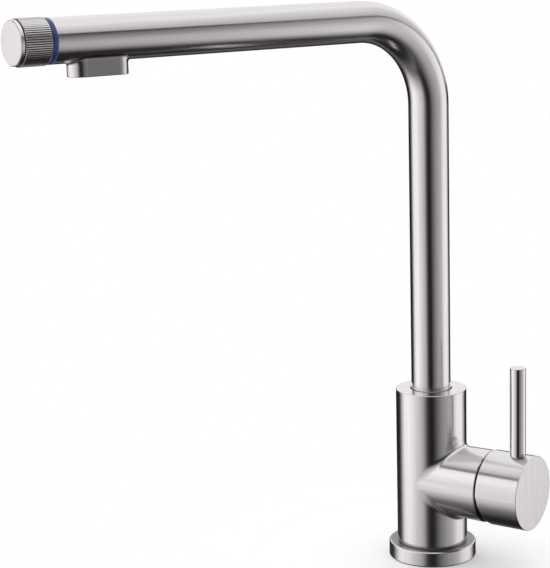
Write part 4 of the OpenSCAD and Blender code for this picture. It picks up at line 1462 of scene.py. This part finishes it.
@dataclass
class Studio:
    """White floor and background, an overhead soft light and a screen that the steel mirrors.

    The screen stands round the tap and only mirror-like rays see it: a bright panel on the left, a dark
    gap towards the camera, a panel on the right that brightens outwards, and a dark back. A grey shade on
    its upper edge brightens upwards into the white background. Greys and heights are given at turns from
    the camera, in degrees to the picture's right.
    """

    camera: PhotoCamera
    screen_radius: float = 1.6
    screen_foot: float = -1.7
    screen_edge: Stops = (
        (-180, 0.2), (-150, 0.3), (-130, 1.85), (-60, 1.85), (60, 1.34), (76, 1.12), (90, 1.05),
        (120, 0.58), (140, 0.28), (180, 0.2),
    )
    screen_strength: float = 1.2
    screen_tint: Colour = (1.03, 0.99, 1.005)
    foot_greys: Stops = (
        (-180, 0.12), (-135, 0.12), (-108, 0.25), (-60, 0.2), (-20, 0.04), (2, 0.04), (90, 0.1),
        (180, 0.12),
    )
    lower_greys: Stops = (
        (-180, 0.01), (-129, 0.01), (-104, 0.92), (-84, 1.0), (-58, 0.7), (-34, 0.45), (-20, 0.06),
        (-12, 0.01), (2, 0.01), (30, 0.25), (50, 0.38), (66, 0.48), (84, 0.86), (112, 0.9), (133, 0.01),
        (180, 0.01),
    )
    upper_greys: Stops = (
        (-180, 0.02), (-148, 0.02), (-126, 0.8), (-64, 1.0), (-12, 0.1), (-6, 0.03), (60, 0.05),
        (74, 0.25), (100, 0.8), (112, 0.95), (129, 0.02), (180, 0.02),
    )
    # Heights between which the foot's greys turn into the lower ones, and those into the upper ones.
    lower_rise: tuple[float, float] = (-1.5, -0.4)
    upper_rise: tuple[float, float] = (0.1, 1.1)
    # The trim along the screen's edge: its width, where it fades, in widths, and its grey.
    trim_width: Stops = ((-180, 0.1), (-130, 0.42), (-60, 0.42), (60, 0.25), (100, 0.12), (180, 0.1))
    trim_fade: tuple[float, float] = (0.7, 1.0)
    trim_grey: float = 0.03
    shade_height: Stops = (
        (-180, 0.05), (-130, 0.05), (-100, 1.2), (-60, 1.2), (60, 2.6), (120, 2.6), (140, 0.05),
        (180, 0.05),
    )
    shade_grey: float = 0.6
    # The card's darkest spot, by its reach and turn, and the distances from it at which the card fades.
    card_dark_at: tuple[float, float] = (0.8, math.radians(130))
    card_fade: tuple[float, float] = (1.3, 2.1)
    card_middle: Colour = (0.02, 0.018, 0.019)
    card_rim: Colour = (0.17, 0.16, 0.165)
    floor_radius: float = 0.9
    floor_fade: tuple[float, float] = (0.0, 0.16)
    floor_low: Colour = (0.9, 0.9, 0.9)
    floor_high: Colour = (0.93, 0.93, 0.93)
    floor_grain: float = 40.0
    fill: float = 1.0
    lamp_height: float = 2.4
    lamp_size: float = 2.6
    lamp_power: float = 16.0
    screen_rows: int = 40
    shade_rows: int = 12

    def build(self) -> None:
        """Builds the stage, the lamp and the world."""
        bpy.context.scene.view_settings.view_transform = "Standard"
        self.camera.build()
        self.world()
        self.floor()
        self.screen()
        self.shade()
        self.under_card()
        self.lamp()

    def world(self) -> None:
        """White where the camera, a mirror or glass looks, and a plain fill for the rest."""
        world = bpy.data.worlds.new("studio")
        world.use_nodes = True
        bpy.context.scene.world = world
        sketch = NodeSketch(world.node_tree)
        path = sketch.add("LightPath").outputs
        seen = sketch.calculate("ADD", path["Is Camera Ray"], path["Is Glossy Ray"])
        either = sketch.calculate("MAXIMUM", seen, path["Is Transmission Ray"])
        fill, white = (
            sketch.add("Background", Color=(1, 1, 1, 1), Strength=strength).outputs["Background"]
            for strength in (self.fill, 1.0)
        )
        mix = sketch.add("MixShader", either, fill, white)
        sketch.add("OutputWorld", Surface=mix.outputs["Shader"])

    def stage_piece(self, name: str, patch: Patch, material: Material, *unseen_by: str) -> None:
        """Shows a patch as a piece of the stage.

        Args:
            name: name of the piece.
            patch: its surface.
            material: its material.
            unseen_by: kinds of rays that don't see it.
        """
        mesh = grid_mesh(name, [patch])
        mesh.materials.append(material)
        mesh.shade_smooth()
        piece = bpy.data.objects.new(name, mesh)
        bpy.context.scene.collection.objects.link(piece)
        for ray in unseen_by:
            setattr(piece, f"visible_{ray}", False)

    def floor(self) -> None:
        """Pale round floor that keeps the shadow and fades into the white background."""
        material, sketch = new_material("pale_floor")
        place = sketch.add("TexCoord").outputs["Object"]
        grain = sketch.noise(place, self.floor_grain, detail=3.0, roughness=0.5)
        pale = sketch.add(
            "BsdfPrincipled",
            Base_Color=sketch.blend(grain, self.floor_low, self.floor_high),
            Roughness=0.7,
            Specular_IOR_Level=0.1,
        )
        clear = sketch.add("BsdfTransparent")
        share = sketch.spread(sketch.distance(place), 0.0, 1.0, *self.floor_fade)
        mix = sketch.add("MixShader", share, pale.outputs["BSDF"], clear.outputs["BSDF"])
        sketch.add("OutputMaterial", Surface=mix.outputs["Shader"])
        self.stage_piece("floor", flat_disc(self.floor_radius, 0.0, STANDING), material, "glossy")

    def turned(self, turn: Array | float) -> Array:
        """Level directions at a turn to the right from the camera: cos t ahead plus sin t right.

        Args:
            turn: turns in radians.

        Returns:
            Unit vectors as rows.
        """
        right, _, back = self.camera.axes()
        ahead = back * [1, 1, 0] / math.cos(self.camera.elevation)
        return np.multiply.outer(np.cos(turn), ahead) + np.multiply.outer(np.sin(turn), right)

    def at_turns(self, stops: Stops) -> Array:
        """Values between stops at each of the screen's turns."""
        return np.interp(SCREEN_TURNS, *zip(*stops))

    def band(self, low: Array | float, high: Array, rows: int) -> Array:
        """Upright band round the tap: the radius times the turned direction, from a lower to an upper edge.

        Args:
            low: height of the lower edge at each turn.
            high: height of the upper edge at each turn.
            rows: number of rows.

        Returns:
            The points.
        """
        height = low + (high - low) * np.linspace(0, 1, rows)[:, None]
        return self.screen_radius * self.turned(np.radians(SCREEN_TURNS)) + height[..., None] * UP

    def turn_ramp(self, sketch: NodeSketch, turn: Socket, greys: Stops) -> Socket:
        """Paints tinted greys by the turn from the camera.

        Args:
            sketch: nodes of the screen.
            turn: socket that runs from 0 to 1 over the full turn.
            greys: turn in degrees and grey, from -180 to 180.

        Returns:
            The colour output.
        """
        ramp = sketch.add("ValToRGB", Fac=turn)
        stops = ramp.color_ramp.elements
        for degrees, _ in greys[1:-1]:
            stops.new((degrees + 180) / 360)
        for stop, (_, grey) in zip(stops, greys):
            stop.color = (*(grey * share for share in self.screen_tint), 1.0)
        return ramp.outputs["Color"]

    def screen(self) -> None:
        """Screen round the tap with a dark trim along its upper edge.

        Its lengths are the share of the full turn and the depth below the edge in widths of the trim. Its
        greys go from those of the foot through the lower to the upper ones as the height goes through
        both rises.
        """
        top = self.at_turns(self.screen_edge)
        points = self.band(self.screen_foot, top, self.screen_rows)
        lengths = stacked(SCREEN_SHARES, (top - points[..., 2]) / self.at_turns(self.trim_width))
        material, sketch = new_material("grey_screen")
        coordinates = sketch.add("TexCoord").outputs
        turn, depth, _ = sketch.add("SeparateXYZ", Vector=coordinates["UV"]).outputs
        height = sketch.add("SeparateXYZ", Vector=coordinates["Object"]).outputs["Z"]
        paint = self.turn_ramp(sketch, turn, self.foot_greys)
        for greys, rise in ((self.lower_greys, self.lower_rise), (self.upper_greys, self.upper_rise)):
            share = sketch.spread(height, 0.0, 1.0, *rise)
            paint = sketch.add("MixRGB", share, paint, self.turn_ramp(sketch, turn, greys)).outputs["Color"]
        trim = self.trim_grey * self.screen_strength
        sketch.glow(paint, sketch.spread(depth, trim, self.screen_strength, *self.trim_fade))
        self.stage_piece("screen", Patch(points, lengths), material, *ALL_BUT_MIRRORED)

    def shade(self) -> None:
        """Grey band on the screen's upper edge that brightens upwards into the white background."""
        edge = self.at_turns(self.screen_edge)
        points = self.band(edge, edge + self.at_turns(self.shade_height), self.shade_rows)
        lengths = stacked(SCREEN_SHARES, np.linspace(0, 1, self.shade_rows)[:, None])
        material, sketch = new_material("upper_shade")
        rise = sketch.add("SeparateXYZ", Vector=sketch.add("TexCoord").outputs["UV"]).outputs["Y"]
        sketch.glow((*self.screen_tint, 1.0), sketch.spread(rise, self.shade_grey, 1.0, 0.0, 1.0))
        self.stage_piece("upper_shade", Patch(points, lengths), material, *ALL_BUT_MIRRORED)

    def under_card(self) -> None:
        """Card below, darkest behind the tap on its right, which the undersides mirror."""
        material, sketch = new_material("dark_card")
        reach, turn = self.card_dark_at
        dark_spot = reach * self.turned(turn) + self.screen_foot * UP
        place = sketch.add("TexCoord").outputs["Object"]
        from_spot = sketch.add("Mapping", Vector=place, Location=-dark_spot).outputs["Vector"]
        share = sketch.spread(sketch.distance(from_spot), 0.0, 1.0, *self.card_fade)
        sketch.glow(sketch.blend(share, self.card_middle, self.card_rim), 1.0)
        card = flat_disc(self.screen_radius, self.screen_foot, STANDING)
        self.stage_piece("under_card", card, material, *ALL_BUT_MIRRORED)

    def lamp(self) -> None:
        """Broad soft light overhead."""
        data = bpy.data.lights.new("overhead", "AREA")
        data.shape = "SQUARE"
        data.size = self.lamp_size
        data.energy = self.lamp_power
        lamp = bpy.data.objects.new("overhead", data)
        lamp.location = (0, 0, self.lamp_height)
        lamp.visible_glossy = False
        bpy.context.scene.collection.objects.link(lamp)


def main() -> None:
    """Builds the sub-assemblies and the stage."""
    logging.basicConfig(level=logging.INFO, format="%(message)s")
    assemblies = (TapColumn(), SideHandle(), Spout(), FilterKnob(), InnerWorks(), Studio(PhotoCamera()))
    for assembly in assemblies:
        assembly.build()
        LOG.info("built %s", type(assembly).__name__)


if __name__ == "__main__":
    main()
